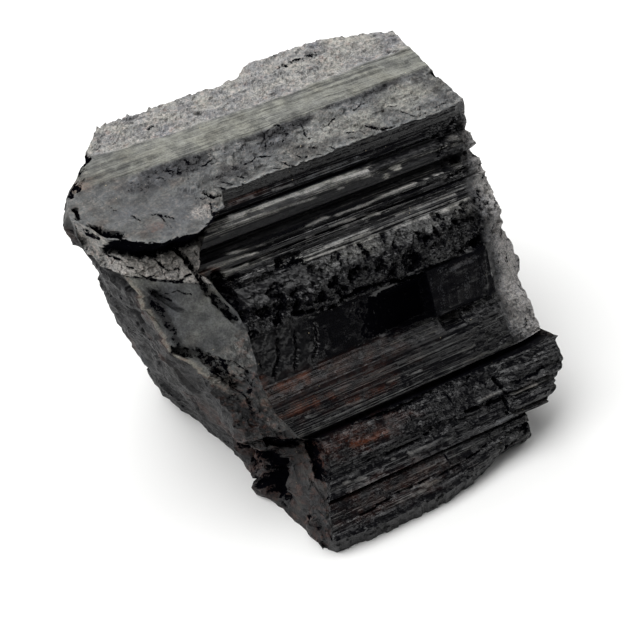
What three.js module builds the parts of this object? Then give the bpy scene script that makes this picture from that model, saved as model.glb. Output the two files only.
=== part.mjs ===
// Black tourmaline: a hand-sized block broken from one thick striated crystal.
//
// The crystal's long axis lies along X. A rough flat break is on top, the front is a
// slope of long ledges and bars that all run along X, and the two ends are breaks.
// Millimetres, +Z up, -Y to the ledges, origin on the floor under the middle of the block.
//
// The skin is one closed grid. Rows run along X round four sides (front, foot, back and
// top), every row ends where it meets the left or the right break, and each break is a
// grid spanned between the row ends.

import * as THREE from 'three';

// ---- Driving dimensions, mm -------------------------------------------------------

const top = 40;            // height of the flat break on top
const middleX = 1.75;      // the middle of the block in the axes that the numbers below use
const middleY = 5.15;

// The front slope's mean plane: its y at the top, and its y at the floor.
const slopeTopY = 9;
const slopeFootY = -23;

// Front edge of the top, as [x, y]: the left third is a tongue that juts forward.
const topFrontEdge = [
  [-29.5, 15.5], [-28.2, 13.7], [-26.8, 9.6], [-24.8, 8.3], [-22.4, 6.1], [-19.5, 5.3], [-17.8, 5.2],
  [-15.6, 4.8], [-13.8, 5.7], [-12.2, 6.9], [-10.3, 8], [-9.1, 10.8], [29, 10.8], [33, 9.5],
];

// Back edge of the top, as [x, y].
const topBackEdge = [
  [-30, 31.6], [-2, 32.7], [0.5, 32.1], [5, 32.9], [6.5, 34.4], [19, 34.5], [27.6, 32.3], [33, 30.3],
];

// Front edge of the foot, as [x, y].
const footFrontEdge = [
  [-16, -21.2], [-12, -22.4], [-11, -23.7], [-5, -24.2], [3.4, -24.2], [7.9, -23.9], [13.4, -22.6],
  [18, -20.8], [21.5, -19.9], [23.6, -20.2], [26.2, -17.9], [27.7, -15.7], [28.6, -13.6],
];

// The ledges down the slope, as [distance down it, height proud of its mean plane].
const ledges = [
  [-1.16, -1.45],                                            // edge of the top
  [0.3, -2.2], [1.9, -2.4], [2.2, -2.9], [2.45, -2.4],       // first riser and its groove
  [3.4, -1.2], [4.2, -1.3], [5.4, -1.8],                     // bright bar and its riser
  [5.8, -2.9], [7.0, -2.9],                                  // deep recess
  [7.3, -1.3], [8.15, -1.7], [8.4, -1.2], [9.2, -1.6], [9.45, -1.2], [10.6, -1.5],
  [11.2, -1.1], [12.3, -0.9],                                // thin slats
  [13.4, 0.1], [14.5, 0.7], [16.8, 0.6], [18.9, 0.1],        // crumbly shoulder
  [19.4, -0.9], [20.4, -1.0], [23.4, -1.45], [26.4, -2.0],   // tall smooth riser
  [27.7, -1.3], [28.9, -0.6], [32, -0.9], [34.9, -1.1],      // broad bar
  [35.15, -3.0], [35.7, -3.0],                               // crack right across
  [36, -0.6], [38.2, 0.1], [40.4, 0.6], [40.8, 0.2], [43.4, 0.6], [44.4, 1.1],
  [44.7, 0.2], [45.2, 0.8], [47.8, 1.5], [50.3, 2.4],        // lower bars
  [52.16, 1.17],                                             // undercut foot
];

// Where the bars end on the left and on the right, as [distance down the slope, x].
const barsLeft = [
  [-1.2, -11.5], [2.5, -13], [5, -14.5], [8, -16.4], [9.4, -15.6], [15, -13], [19, -12.6], [25, -13.2],
  [30, -12.6], [35, -10.2], [40, -9.6], [45, -10.2], [53, -10.6],
];
const barsRight = [
  [-1.2, 29], [5, 28], [10, 26.6], [20, 26.4], [30, 25.8], [34.8, 26.4], [35.8, 30.8], [41, 30.8],
  [44.6, 27], [53, 27],
];

// What stands proud of the ledges or is broken out of them: where it starts, is full, is
// last full and ends along X and down the slope, and its rise.
const features = [
  { x: [12.5, 14.5, 60, 61], t: [2.3, 2.6, 4.4, 4.7], rise: -0.7 },       // the bright bar broken off
  { x: [15.3, 15.6, 26, 26.3], t: [19.2, 19.6, 26.4, 26.8], rise: 0.9 },  // raised block
  { x: [5, 13, 15.2, 15.7], t: [19.4, 21.4, 26, 27], rise: -2.4 },        // pocket beside it
  { x: [15.8, 16.8, 19.2, 20.2], t: [26.7, 27.2, 28.4, 29.2], rise: -1.3 },   // hole below it
  { x: [21.8, 22.6, 26, 26.8], t: [13.8, 14.6, 18.6, 19.4], rise: -1.5 },     // rough hole on the right
  { x: [8, 11, 60, 61], t: [35, 35.2, 35.7, 35.9], rise: -1.2 },          // the crack gapes
  { x: [21, 23, 60, 61], t: [35.5, 36, 43.4, 43.9], rise: 0.7 },          // stub of the lower bars
  { x: [-61, -60, -8, -7], t: [35.9, 36.4, 41.6, 42.1], rise: -1.4 },     // slot at their left end
];
const shoulder = { t: [12.4, 13, 18.6, 19.2], rough: 0.5 };               // crumbly, all along
const wornBars = { t: [36, 38, 49, 50], rough: 0.25 };

const facetX = -13;          // the smooth left facet starts here, level with the slope,
const facetFall = 0.439;     // and falls by this much per mm to the left
const bevelFall = 0.376;     // fall of the right bevel per mm to the right

const facetEnd = 33;         // distances down the slope at which the facet and the bevel end
const bevelEnd = 35.5;
const stubFall = 0.8;        // fall per mm to the left of the lower bars, below the facet

// Between the tongue's edge and the facet: a cleft, and a shelf whose front edge is given
// as [x, distance down the slope]. The shelf falls back by shelfFall per mm up the slope.
const cleftWidth = 2.1;
const cleftDepth = 1.2;
const shelfFrontEdge = [[-28, 3.6], [-16, 9.6]];
const shelfFall = 0.5;
const facetRise = { x: [-28, -24, -16, -13.2], t: [-61, -60, 9, 17], rise: 2 };  // below the shelf

// Left break: its foot line and its lean per mm of height, each as [y, value], and how far
// it bellies out, as [height, mm].
const leftFoot = [
  [-26, -11.7], [-22.3, -12.4], [-16.2, -13.2], [-11.6, -14.3], [-9.6, -15.8], [-7.4, -15.8],
  [-5, -14.6], [-1.2, -14.8], [2.8, -15.6], [7.9, -16.8], [12.5, -18.4], [36, -18.8],
];
const leftLean = [
  [-26, -0.12], [-13.3, -0.1], [-9, 0.03], [-5.4, 0.155], [2, 0.285], [10, 0.27], [36, 0.27],
];
const leftBelly = [[0, 0], [5, 0.2], [12, 0.9], [19, 0.9], [26, 0.3], [32, 0], [40, 0]];

// Bevel between the left break and the back, as [y, x] at the top, and its undercut.
const backBevel = [
  [10, -31.5], [17.7, -29], [21.7, -27.4], [25.8, -23.9], [30, -20], [32.2, -18.1], [38, -13],
];
const backBevelLean = 0.27;

// Right break, as [height, x]: at the front, where the lower bars stick out past the rest
// of it as a stub, and towards the back.
const rightFront = [
  [0, 28.2], [5.6, 28.2], [7, 28.8], [8.6, 31.4], [9.8, 32.6], [11.6, 32.6], [15, 32], [17, 32.4],
  [21, 31.8], [26.9, 29.9], [29.4, 30.5], [32, 31.5], [35.3, 31.3], [40, 31.1],
];
const rightBack = [[0, 29.4], [10, 30.8], [28, 31.2], [40, 30.8]];

// Relief of the back, as [height, y past the top's back edge], and of the top, as [y, rise].
const backRelief = [
  [0, -1.9], [3, -1.1], [9.4, -0.7], [10.4, 0.1], [17.5, -0.3], [18.2, -1], [24, -1.2], [25, -0.1],
  [33.6, -0.4], [34.4, -0.9], [36.5, -0.8], [37.2, -0.1], [40, 0],
];
const topRelief = [
  [3, -0.4], [10.8, -0.1], [14, -0.45], [20.2, -0.45], [20.7, 0.05], [25.8, 0.1], [26.4, -0.25], [36, 0],
];
const backRise = { x: [4, 9, 60, 61], y: [27, 31, 60, 61], rise: 0.35 };  // higher corner of the top
const backScars = [
  { x: [-14, -12, 3, 5], z: [9.5, 11, 23, 24.5], rise: -1.1 },
  { x: [14, 26, 60, 61], z: [-2, -1, 7, 16], rise: -1.6 },
];
const topRough = 0.15;       // unevenness of the top and of the two breaks, which keep a true edge
const leftRough = 0.35;
const rightRough = 0.4;
const breakRoughFrom = [0, 3, 36, 39];
const leftNotch = { y: [-14, -12, -5, -3], z: [2, 4, 9, 11], rise: 2.2 };   // hole where the flank turns
const rightToe = { y: [-61, -60, -17, -11], z: [-61, -60, 5.2, 6.3], rise: -4.4 };  // below the stub

// Rows of the top, by their y where the edges are straight.
const topRows = [10.8, 11.5, 13, 14.9, 16.6, 18.4, 20.2, 20.7, 23.2, 25.8, 26.4, 29.4, 32.2];
const topStraightFrom = 20.2;
const topStraightTo = 26.4;

// Rows that would start above the tongue's edge are gathered into a strip this wide below
// it. Below slopeStraightTo the rows follow the foot's edge.
const gatherWidth = 1.2;
const slopeStraightTo = 44.4;

// Columns: fractions of the stretch left of the bars, x along the bars, and fractions
// of the stretch right of them. A pair of columns straddles each end of the bars.
const leftColumns = [0, 0.17, 0.34, 0.51, 0.68, 0.85];
const barColumns = [-8.4, -6, -3.5, -1, 1.6, 4.2, 6.8, 9.2, 11, 13, 15.1, 15.8, 17.6, 19.2, 20.8, 22.4];
const rightColumns = [0.35, 0.7, 1];
const straddle = 0.35;

// ---- Helpers ----------------------------------------------------------------------

// Straight lines between [at, value] points, held level past both ends.
function along(points, at) {
  if (at <= points[0][0]) return points[0][1];
  for (let i = 1; i < points.length; i += 1) {
    const [a, va] = points[i - 1];
    const [b, vb] = points[i];
    if (at <= b) return va + (vb - va) * (at - a) / (b - a);
  }
  return points[points.length - 1][1];
}

const ramp = (from, to, at) => THREE.MathUtils.smoothstep(at, from, to);

// Unevenness of a broken face: two products of waves, 11 and 5 mm long, within 1 of 0.
function uneven(a, b) {
  const broad = Math.sin(0.55 * a + 0.31 * b + 1.1) * Math.cos(0.47 * b - 0.2 * a);
  const fine = Math.sin(1.3 * a - 0.9 * b + 0.5) * Math.sin(1.1 * b + 0.7 * a + 2);
  return 0.6 * broad + 0.4 * fine;
}

// Rises from 0 at start to 1 at full, and falls to 0 again from last to end.
function hump([start, full, last, end], at) {
  return ramp(start, full, at) * (1 - ramp(last, end, at));
}

// ---- The front slope --------------------------------------------------------------

const slopeLength = Math.hypot(slopeTopY - slopeFootY, top);
const downY = (slopeFootY - slopeTopY) / slopeLength;
const downZ = -top / slopeLength;

// (distance down the slope, height proud of it) to (y, z), and back.
function onSlope(t, h) {
  return [slopeTopY + t * downY + h * downZ, top + t * downZ - h * downY];
}
function fromSlope(y, z) {
  const dy = y - slopeTopY;
  const dz = z - top;
  return [dy * downY + dz * downZ, dy * downZ - dz * downY];
}

// The plain ledges, the features on them and the roughness of the worn ones.
function barHeight(x, t) {
  let h = along(ledges, t);
  features.forEach((feature) => {
    h += feature.rise * hump(feature.x, x) * hump(feature.t, t);
  });
  h += shoulder.rough * uneven(1.3 * x, 1.6 * t) * hump(shoulder.t, t);
  h += wornBars.rough * uneven(x, 2 * t) * hump(wornBars.t, t);
  return h;
}

// Left of the bars: edge of the tongue, a deep cleft, a light shelf, then the smooth facet.
function leftHeight(x, t, edgeT, edgeH) {
  const swell = facetRise.rise * hump(facetRise.x, x) * hump(facetRise.t, t);
  const facet = facetFall * (x - facetX) + swell;
  const shelfFront = Math.max(edgeT + 4.4, along(shelfFrontEdge, x));
  const shelfBack = edgeT + cleftWidth;
  const shelf = facet - shelfFall * (shelfFront - shelfBack);
  const profile = [
    [edgeT, edgeH], [edgeT + 0.5 * cleftWidth, shelf - 0.5 * cleftDepth],
    [edgeT + 0.8 * cleftWidth, shelf - cleftDepth], [shelfBack, shelf],
    [shelfFront, facet], [shelfFront + 1.2, facet - 0.2], [25, facet], [28, facet - 0.5],
  ];
  return along(profile, t);
}

// A point of the front side at x, on the row that is nominal mm down the slope.
function frontPoint(x, nominal) {
  const first = ledges[0];
  const last = ledges[ledges.length - 1];
  const [edgeT, edgeH] = fromSlope(along(topFrontEdge, x), top);
  const [footT, footH] = fromSlope(along(footFrontEdge, x), 0);
  let t = nominal;
  if (nominal < edgeT + gatherWidth) {
    t = edgeT + gatherWidth * (nominal - first[0]) / (edgeT + gatherWidth - first[0]);
  }
  let toFoot = 0;
  if (nominal > slopeStraightTo) {
    toFoot = (nominal - slopeStraightTo) / (last[0] - slopeStraightTo);
    t = slopeStraightTo + toFoot * (footT - slopeStraightTo);
  }
  if (nominal === first[0]) return onSlope(edgeT, edgeH);
  if (nominal === last[0]) return onSlope(footT, footH);
  const from = along(barsLeft, nominal);
  const to = along(barsRight, nominal);
  let h = barHeight(x, nominal) + toFoot * toFoot * (footH - last[1]);
  if (x < from) h = nominal < facetEnd ? leftHeight(x, t, edgeT, edgeH) : h + stubFall * (x - from);
  if (x > to && nominal < bevelEnd) h -= bevelFall * (x - to);
  return onSlope(t, h);
}

// ---- The other three long sides ---------------------------------------------------

function topPoint(x, nominal) {
  const front = along(topFrontEdge, x);
  const back = along(topBackEdge, x);
  const lastRow = topRows[topRows.length - 1];
  let y = nominal;
  if (nominal < topStraightFrom) {
    const part = (nominal - topRows[0]) / (topStraightFrom - topRows[0]);
    y = front + part * (topStraightFrom - front);
  } else if (nominal > topStraightTo) {
    const part = (nominal - topStraightTo) / (lastRow - topStraightTo);
    y = topStraightTo + part * (back - topStraightTo);
  }
  if (nominal === topRows[0]) return [y, top];
  const rise = backRise.rise * hump(backRise.x, x) * hump(backRise.y, y);
  return [y, top + along(topRelief, y) + rise + topRough * uneven(x, y)];
}

function backPoint(x, height) {
  let [y, z] = topPoint(x, topRows[topRows.length - 1]);
  backScars.forEach((scar) => {
    y += scar.rise * hump(scar.x, x) * hump(scar.z, height);
  });
  return [y + along(backRelief, height), height * z / top];
}

function footPoint(x, part) {
  const front = along(footFrontEdge, x);
  const [back] = backPoint(x, 0);
  return [front + part * (back - front), 0];
}

// ---- The two breaks ---------------------------------------------------------------

function leftBreak(y, z) {
  const flank = along(leftFoot, y) - along(leftLean, y) * z;
  const bevel = along(backBevel, y) + backBevelLean * (top - z);
  const notch = leftNotch.rise * hump(leftNotch.y, y) * hump(leftNotch.z, z);
  const rough = leftRough * uneven(y, z) * hump(breakRoughFrom, z);
  return Math.max(flank + notch, bevel) - along(leftBelly, z) - rough;
}

function rightBreak(y, z) {
  const rough = rightRough * uneven(1.2 * z, y) * hump(breakRoughFrom, z);
  const toe = rightToe.rise * hump(rightToe.y, y) * hump(rightToe.z, z);
  return THREE.MathUtils.lerp(along(rightFront, z), along(rightBack, z), ramp(0, 12, y)) + toe + rough;
}

// ---- Rows round the block ---------------------------------------------------------

// Shares of the way down the slope and across the top at which their rows lie. The rows of
// the back and the foot are as many, and evenly spaced.
const slopeSpan = ledges[ledges.length - 1][0] - ledges[0][0];
const slopeParts = ledges.map(([t]) => (t - ledges[0][0]) / slopeSpan);
const topSpan = topRows[topRows.length - 1] - topRows[0];
const topParts = topRows.map((y) => (y - topRows[0]) / topSpan);
const down = slopeParts.length - 1;
const across = topParts.length - 1;

// Each row gives (y, z) at any x, and where the bars' ends fall on it.
const rows = [];
ledges.forEach(([t]) => {
  rows.push({ at: (x) => frontPoint(x, t), from: along(barsLeft, t), to: along(barsRight, t) });
});
const flat = { from: -12.4, to: 27 };
for (let i = 1; i <= across; i += 1) rows.push({ at: (x) => footPoint(x, i / across), ...flat });
for (let i = 1; i <= down; i += 1) rows.push({ at: (x) => backPoint(x, top * i / down), ...flat });
for (let i = across - 1; i > 0; i -= 1) rows.push({ at: (x) => topPoint(x, topRows[i]), ...flat });

// Where a row meets a break, by repeated substitution.
function meet(row, breakAt, start) {
  let x = start;
  for (let i = 0; i < 60; i += 1) {
    const [y, z] = row.at(x);
    x += 0.5 * (breakAt(y, z) - x);
  }
  return x;
}

function stations(row) {
  const left = meet(row, leftBreak, -20);
  const right = meet(row, rightBreak, 31);
  const from = Math.max(row.from, left + 2 * straddle + 0.2);
  const to = Math.min(row.to, right - 2 * straddle - 0.2);
  return [
    ...leftColumns.map((part) => left + part * (from - straddle - left)),
    from - straddle, from + straddle,
    ...barColumns,
    to - straddle, to + straddle,
    ...rightColumns.map((part) => to + straddle + part * (right - to - straddle)),
  ];
}

// ---- The closed grid --------------------------------------------------------------

const vertices = [];
const triangles = [];

function addVertex(x, y, z) {
  vertices.push(x - middleX, y - middleY, z);
  return vertices.length / 3 - 1;
}

function addQuad(a, b, c, d) {
  triangles.push(a, b, c, a, c, d);
}

const grid = rows.map((row) => stations(row).map((x) => addVertex(x, ...row.at(x))));
const columns = grid[0].length;
grid.forEach((line, j) => {
  const next = grid[(j + 1) % grid.length];
  for (let i = 0; i < columns - 1; i += 1) addQuad(line[i], next[i], next[i + 1], line[i + 1]);
});

// A break: a Coons patch in (y, z) between the row ends of the four sides, set at the
// break's own x.
function addBreak(column, breakAt, flip) {
  const ring = (j) => grid[j % grid.length][column];
  const front = (v) => ring(v);
  const foot = (u) => ring(down + u);
  const back = (v) => ring(down + across + (down - v));
  const crest = (u) => ring(2 * down + across + (across - u));
  const yz = (id) => [vertices[3 * id + 1] + middleY, vertices[3 * id + 2]];
  const patch = [];
  for (let v = 0; v <= down; v += 1) {
    const line = [];
    for (let u = 0; u <= across; u += 1) {
      if (v === 0) line.push(crest(u));
      else if (v === down) line.push(foot(u));
      else if (u === 0) line.push(front(v));
      else if (u === across) line.push(back(v));
      else {
        const q = THREE.MathUtils.lerp(slopeParts[v], v / down, topParts[u]);
        const p = THREE.MathUtils.lerp(topParts[u], u / across, q);
        const point = [0, 1].map((k) => (
          (1 - p) * yz(front(v))[k] + p * yz(back(v))[k] + (1 - q) * yz(crest(u))[k] + q * yz(foot(u))[k]
          - (1 - p) * (1 - q) * yz(front(0))[k] - p * (1 - q) * yz(back(0))[k]
          - (1 - p) * q * yz(front(down))[k] - p * q * yz(back(down))[k]
        ));
        line.push(addVertex(breakAt(...point), ...point));
      }
    }
    patch.push(line);
  }
  for (let v = 0; v < down; v += 1) {
    for (let u = 0; u < across; u += 1) {
      const quad = [patch[v][u], patch[v][u + 1], patch[v + 1][u + 1], patch[v + 1][u]];
      addQuad(...(flip ? quad.reverse() : quad));
    }
  }
}

addBreak(0, leftBreak, false);
addBreak(columns - 1, rightBreak, true);

// ---- The part ---------------------------------------------------------------------

const geometry = new THREE.BufferGeometry();
geometry.setAttribute('position', new THREE.Float32BufferAttribute(vertices, 3));
geometry.setIndex(triangles);
geometry.computeVertexNormals();

const schorl = new THREE.MeshStandardMaterial({ color: 0x1c1c1f, roughness: 0.45, metalness: 0 });
schorl.name = 'schorl';

const stone = new THREE.Mesh(geometry, schorl);
stone.name = 'black_tourmaline';

const part = new THREE.Group();
part.add(stone);

export default part;
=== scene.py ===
# Black tourmaline: one broken block of striated schorl on a pale floor, in metres.
from functools import partial
from types import SimpleNamespace
import bpy
import numpy as np
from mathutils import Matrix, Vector


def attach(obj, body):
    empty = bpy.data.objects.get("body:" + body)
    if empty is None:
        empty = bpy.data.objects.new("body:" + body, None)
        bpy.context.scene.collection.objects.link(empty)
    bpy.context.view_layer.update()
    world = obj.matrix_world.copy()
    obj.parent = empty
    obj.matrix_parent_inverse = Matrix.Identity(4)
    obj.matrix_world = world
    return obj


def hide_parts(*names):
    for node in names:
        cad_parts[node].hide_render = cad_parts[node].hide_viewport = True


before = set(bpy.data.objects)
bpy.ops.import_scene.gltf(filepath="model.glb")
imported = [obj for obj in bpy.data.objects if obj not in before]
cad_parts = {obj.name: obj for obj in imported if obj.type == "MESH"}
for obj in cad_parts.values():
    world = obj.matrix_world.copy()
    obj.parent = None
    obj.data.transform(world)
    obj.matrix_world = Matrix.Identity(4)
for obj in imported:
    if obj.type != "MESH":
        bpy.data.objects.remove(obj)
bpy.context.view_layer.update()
print("frame loaded")

mm = 0.001

# Places and sizes in the tables are in mm, in the axes of the solid before it is centred. On
# the front slope a place is x along the crystal and t down the slope. Four numbers in brackets
# are a stretch: it sets in between the first two and ends between the last two; 60 and -60 lie
# past the stone.
whole = (-61, -60, 60, 61)

stone = {
    "top": 40,                      # height of the flat break
    "middle": (1.75, 5.15),         # what is taken off x and y at the end
    "slopeTopY": 9,
    "slopeFootY": -23,
    "topFrontEdge": [
        (-29.5, 15.5), (-28.2, 13.7), (-26.8, 9.6), (-24.8, 8.3), (-22.4, 6.1), (-19.5, 5.3),
        (-17.8, 5.2), (-15.6, 4.8), (-13.8, 5.7), (-12.2, 6.9), (-10.3, 8), (-9.1, 10.8), (29.4, 10.8),
        (30.4, 11.2), (31.2, 12.2), (33, 14)],
    "topBackEdge": [
        (-30, 31.6), (-2, 32.7), (0.5, 32.1), (5, 32.9), (6.5, 34.4), (19, 34.5), (27.6, 32.3),
        (33, 30.3)],
    "footFrontEdge": [
        (-16, -21.2), (-12, -22.4), (-11, -23.7), (-5, -24.2), (3.4, -24.2), (7.9, -23.9),
        (13.4, -22.6), (18, -20.8), (21.5, -19.9), (23.6, -20.2), (26.2, -17.9), (27.7, -15.7),
        (28.6, -13.6)],
    # the small chips along each edge: height, length and seed
    "chips": {
        "topFrontEdge": [(0.32, 1.7, 61), (0.16, 0.6, 67)],
        "topBackEdge": [(0.3, 2.2, 71), (0.14, 0.7, 73)],
        "footFrontEdge": [(0.22, 1.3, 77)]},
    # steps of the bars, as (t, height proud of the slope)
    "ledges": [
        (-1.16, -1.45), (0.3, -2.2), (1.9, -2.4), (2.2, -2.9), (2.45, -2.4), (3.4, -1.2), (4.2, -1.3),
        (5.4, -1.8), (5.8, -2.9), (7, -2.9), (7.3, -1.3), (8.15, -1.7), (8.4, -1.2), (9.2, -1.6),
        (9.45, -1.2), (10.6, -1.5), (11.2, -1.1), (12.3, -0.9), (13.4, 0.1), (14.5, 0.7), (16.8, 0.6),
        (18.9, 0.1), (19.4, -0.9), (20.4, -1), (23.4, -1.45), (26.4, -2), (27.7, -1.3), (28.9, -0.6),
        (32, -0.9), (34.9, -1.1), (35.15, -3), (35.7, -3), (36, -0.6), (38.2, 0.1), (40.4, 0.6),
        (40.8, 0.2), (43.4, 0.6), (44.4, 1.1), (44.7, 0.2), (45.2, 0.8), (47.8, 1.5), (50.3, 2.4),
        (52.16, 1.17)],
    # x where the bars begin and end, all the way down
    "barsLeft": [
        (-1.2, -11.5), (2.5, -13), (5, -14.5), (8, -16.4), (9.4, -15.6), (15, -13), (19, -12.6),
        (25, -13.2), (30, -12.6), (35, -10.2), (36, -7.4), (40.5, -8), (44.5, -9.6), (50, -11.4),
        (53, -11.6)],
    "barsRight": [
        (-1.2, 29), (5, 28), (10, 26.6), (20, 26.4), (30, 25.8), (34.8, 26.4), (35.8, 30.8), (41, 30.8),
        (44.6, 27), (53, 27)],
    "facetX": -13, "facetFall": 0.439, "bevelFall": 0.376,
    "facetEnd": 33, "bevelEnd": 35.5, "stubFall": 0.8,
    "cleftWidth": 2.1, "cleftDepth": 1.2, "shelfFrontEdge": [(-28, 3.6), (-16, 9.6)], "shelfFall": 0.5,
    "shelfReach": 4.4,              # the least width of cleft and shelf together
    "facetRise": ((-28, -24, -16, -13.2), (-61, -60, 9, 17), 2),   # the facet swells below the shelf
    "leftFoot": [
        (-26, -11.7), (-22.3, -12.4), (-16.2, -13.2), (-11.6, -14.3), (-9.6, -15.8), (-7.4, -15.8),
        (-5, -14.6), (-1.2, -14.8), (2.8, -15.6), (7.9, -16.8), (12.5, -18.4), (36, -18.8)],
    "leftLean": [
        (-26, -0.12), (-13.3, -0.1), (-9, 0.03), (-5.4, 0.155), (2, 0.285), (10, 0.27), (36, 0.27)],
    "leftBelly": [(0, 0), (5, 0.2), (12, 0.9), (19, 0.9), (26, 0.3), (32, 0), (40, 0)],
    "backBevel": [
        (10, -31.5), (17.7, -29), (21.7, -27.4), (25.8, -23.9), (30, -20), (32.2, -18.1), (38, -13)],
    "backBevelLean": 0.27,
    "rightFront": [
        (0, 28.2), (5.6, 28.2), (7, 28.8), (8.6, 31.4), (9.8, 32.6), (11.6, 32.6), (15, 32), (17, 32.4),
        (21, 31.8), (26.9, 29.9), (29.4, 30.5), (32, 31.5), (35.3, 31.3), (40, 31.1)],
    "rightBack": [(0, 29.4), (10, 30.8), (28, 31.2), (40, 30.8)],
    "breakInner": (0, 3, 36, 39),   # where over the height both breaks are rough
    "backRelief": [
        (0, -1.9), (3, -1.1), (9.4, -0.7), (10.4, 0.1), (17.5, -0.3), (18.2, -1), (24, -1.2),
        (25, -0.1), (33.6, -0.4), (34.4, -0.9), (36.5, -0.8), (37.2, -0.1), (40, 0)],
    "topRelief": [
        (3, -0.4), (10.8, -0.1), (14, -0.4), (19.8, -0.4), (20.9, -0.05), (25.8, 0.1), (26.6, -0.2),
        (36, 0)],
    "crestBow": [(-21, 0.3), (-6, -0.4), (8, -0.8), (31, 0.6)],
    # where rows run straight, and where they close up towards an edge
    "gatherWidth": 1.2, "slopeStraightTo": 44.4, "topStraight": (20.2, 26.4),
    "topFrom": 10.8, "topTo": 32.2,
    # rises and hollows of the front: where along x, where down the slope, and by how much
    "frontForms": [
        ((12.5, 14.5, 60, 61), (2.3, 2.6, 4.4, 4.7), -0.7),       # bright bar broken off
        ((15.3, 15.6, 26, 26.3), (19.2, 19.6, 26.4, 26.8), 0.9),  # raised block
        ((5, 13, 15.2, 15.7), (19.4, 21.4, 26, 27), -2.4),        # pocket beside it
        ((15.8, 16.8, 19.2, 20.2), (26.7, 27.2, 28.4, 29.2), -1.3),
        ((21.8, 22.6, 26, 26.8), (13.8, 14.6, 18.6, 19.4), -1.5),
        ((8, 11, 60, 61), (35, 35.2, 35.7, 35.9), -1.2),          # the crack gapes
        ((21, 23, 60, 61), (35.5, 36, 43.4, 43.9), 0.7),          # stub of the lower bars
        ((-61, -60, -11.5, -9.5), (34.9, 35.15, 35.7, 36), 1.8)],  # the crack closes on the left
    "backForms": [
        ((-14, -12, 3, 5), (9.5, 11, 23, 24.5), -1.1),
        ((14, 26, 60, 61), (-2, -1, 7, 16), -1.6)],
    # the fibrous end left of the lower bars, as (t, height proud of the slope)
    "fibrousEnd": [(33, -1.2), (36, -1.4), (40, -0.4), (44, 0.5), (48, 1.6), (50.3, 2.2), (52.16, 1.17)],
    "leftNotch": ((-14, -12, -5, -3), (2, 4, 9, 11), 2.2),
    "rightToe": ((-61, -60, -17, -11), (-61, -60, 5.2, 6.3), -4.4),
    # how many cells: down the front, across the top and the breaks, and along x
    "slopeCells": 210, "acrossCells": 80,
    "alongKnots": (0, 52, 53, 73, 201, 217, 218, 240),
    "alongFixed": (-8.4, 22.4), "straddle": 0.1, "flatEnds": (-12.4, 27),
    "topMarks": (0, 9.4, 9.9, 15, 15.6, 21.4),
}


def along(points, at):
    # straight lines between (place, value) pairs, level past both ends
    pairs = np.asarray(points, float)
    return np.interp(at, pairs[:, 0], pairs[:, 1])


def ramp(start, end, at):
    # 0 before start, 1 after end, an S curve between: 3p squared less 2p cubed
    p = np.clip((at - start) / (end - start), 0, 1)
    return p * p * (3 - 2 * p)


def hump(stretch, at):
    # 1 inside a stretch, 0 outside, an S curve at either end
    return ramp(stretch[0], stretch[1], at) * (1 - ramp(stretch[2], stretch[3], at))


def even(u, v, value=0.0):
    # one value everywhere
    return np.full(np.broadcast(u, v).shape, value)


def dice(i, j, seed):
    # a repeatable number from 0 to 1 for every pair of whole numbers: the fraction of a large sine
    s = np.sin(i * 12.9898 + j * 78.233 + seed * 37.719) * 43758.5453
    return s - np.floor(s)


def cloud(u, v, seed, octaves=3):
    # soft noise from -1 to 1: numbers on a unit lattice joined by S curves, added at halved sizes
    total = even(u, v)
    for k in range(octaves):
        a, b = u * 2 ** k, v * 2 ** k
        i, j = np.floor(a), np.floor(b)
        p, q = ramp(0, 1, a - i), ramp(0, 1, b - j)
        low = dice(i, j, seed + k) * (1 - p) + dice(i + 1, j, seed + k) * p
        high = dice(i, j + 1, seed + k) * (1 - p) + dice(i + 1, j + 1, seed + k) * p
        total += (2 * (low * (1 - q) + high * q) - 1) / 2 ** k
    return total / (2 - 2.0 ** (1 - octaves))


def turned(u, v, size, seed, octaves=3):
    # soft noise whose lattice stands on its corners, so that it lines up with no edge
    return cloud((u + v) / size, (v - u) / size, seed, octaves)


def blocks(u, v, seed):
    # broken blocks: every place belongs to the nearest of one jittered point per unit square.
    # Gives each block's own tilted level, about -1 to 1, the distance to its border, and its number.
    i, j = np.floor(u), np.floor(v)
    best, second, level, number = [even(u, v, value) for value in (9.0, 9.0, 0.0, 0.0)]
    for a in (-1, 0, 1):
        for b in (-1, 0, 1):
            ci, cj = i + a, j + b
            rolls = [dice(ci, cj, seed + k) for k in range(5)]
            du, dv = u - ci - rolls[0], v - cj - rolls[1]
            d = np.hypot(du, dv)
            tilted = 1.4 * (rolls[2] - 0.5) + 1.6 * (du * (rolls[3] - 0.5) + dv * (rolls[4] - 0.5))
            nearer = d < best
            second = np.where(nearer, best, np.minimum(second, d))
            level = np.where(nearer, tilted, level)
            number = np.where(nearer, rolls[2], number)
            best = np.where(nearer, d, best)
    return level, second - best, number


def lumps(u, v, seed):
    # the levels of such blocks alone
    return blocks(u, v, seed)[0]


def slats(u, v, length, width, seed):
    # long slats along u: strips of about one width in v, whose level wanders along u, -1 to 1
    v = v / width
    strip = np.floor(v + 0.6 * np.sin(0.9 * v + seed))
    a = u / length + 9 * dice(strip, 3, seed)
    i = np.floor(a)
    p = ramp(0, 1, a - i)
    return 2 * (dice(strip, i, seed + 9) * (1 - p) + dice(strip, i + 1, seed + 9) * p) - 1


def away(u, v, line):
    # distance from a chain of points
    d = even(u, v, 1e3)
    for (au, av), (bu, bv) in zip(line[:-1], line[1:]):
        lu, lv = bu - au, bv - av
        p = np.clip(((u - au) * lu + (v - av) * lv) / (lu * lu + lv * lv), 0, 1)
        d = np.minimum(d, np.hypot(u - au - p * lu, v - av - p * lv))
    return d


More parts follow.
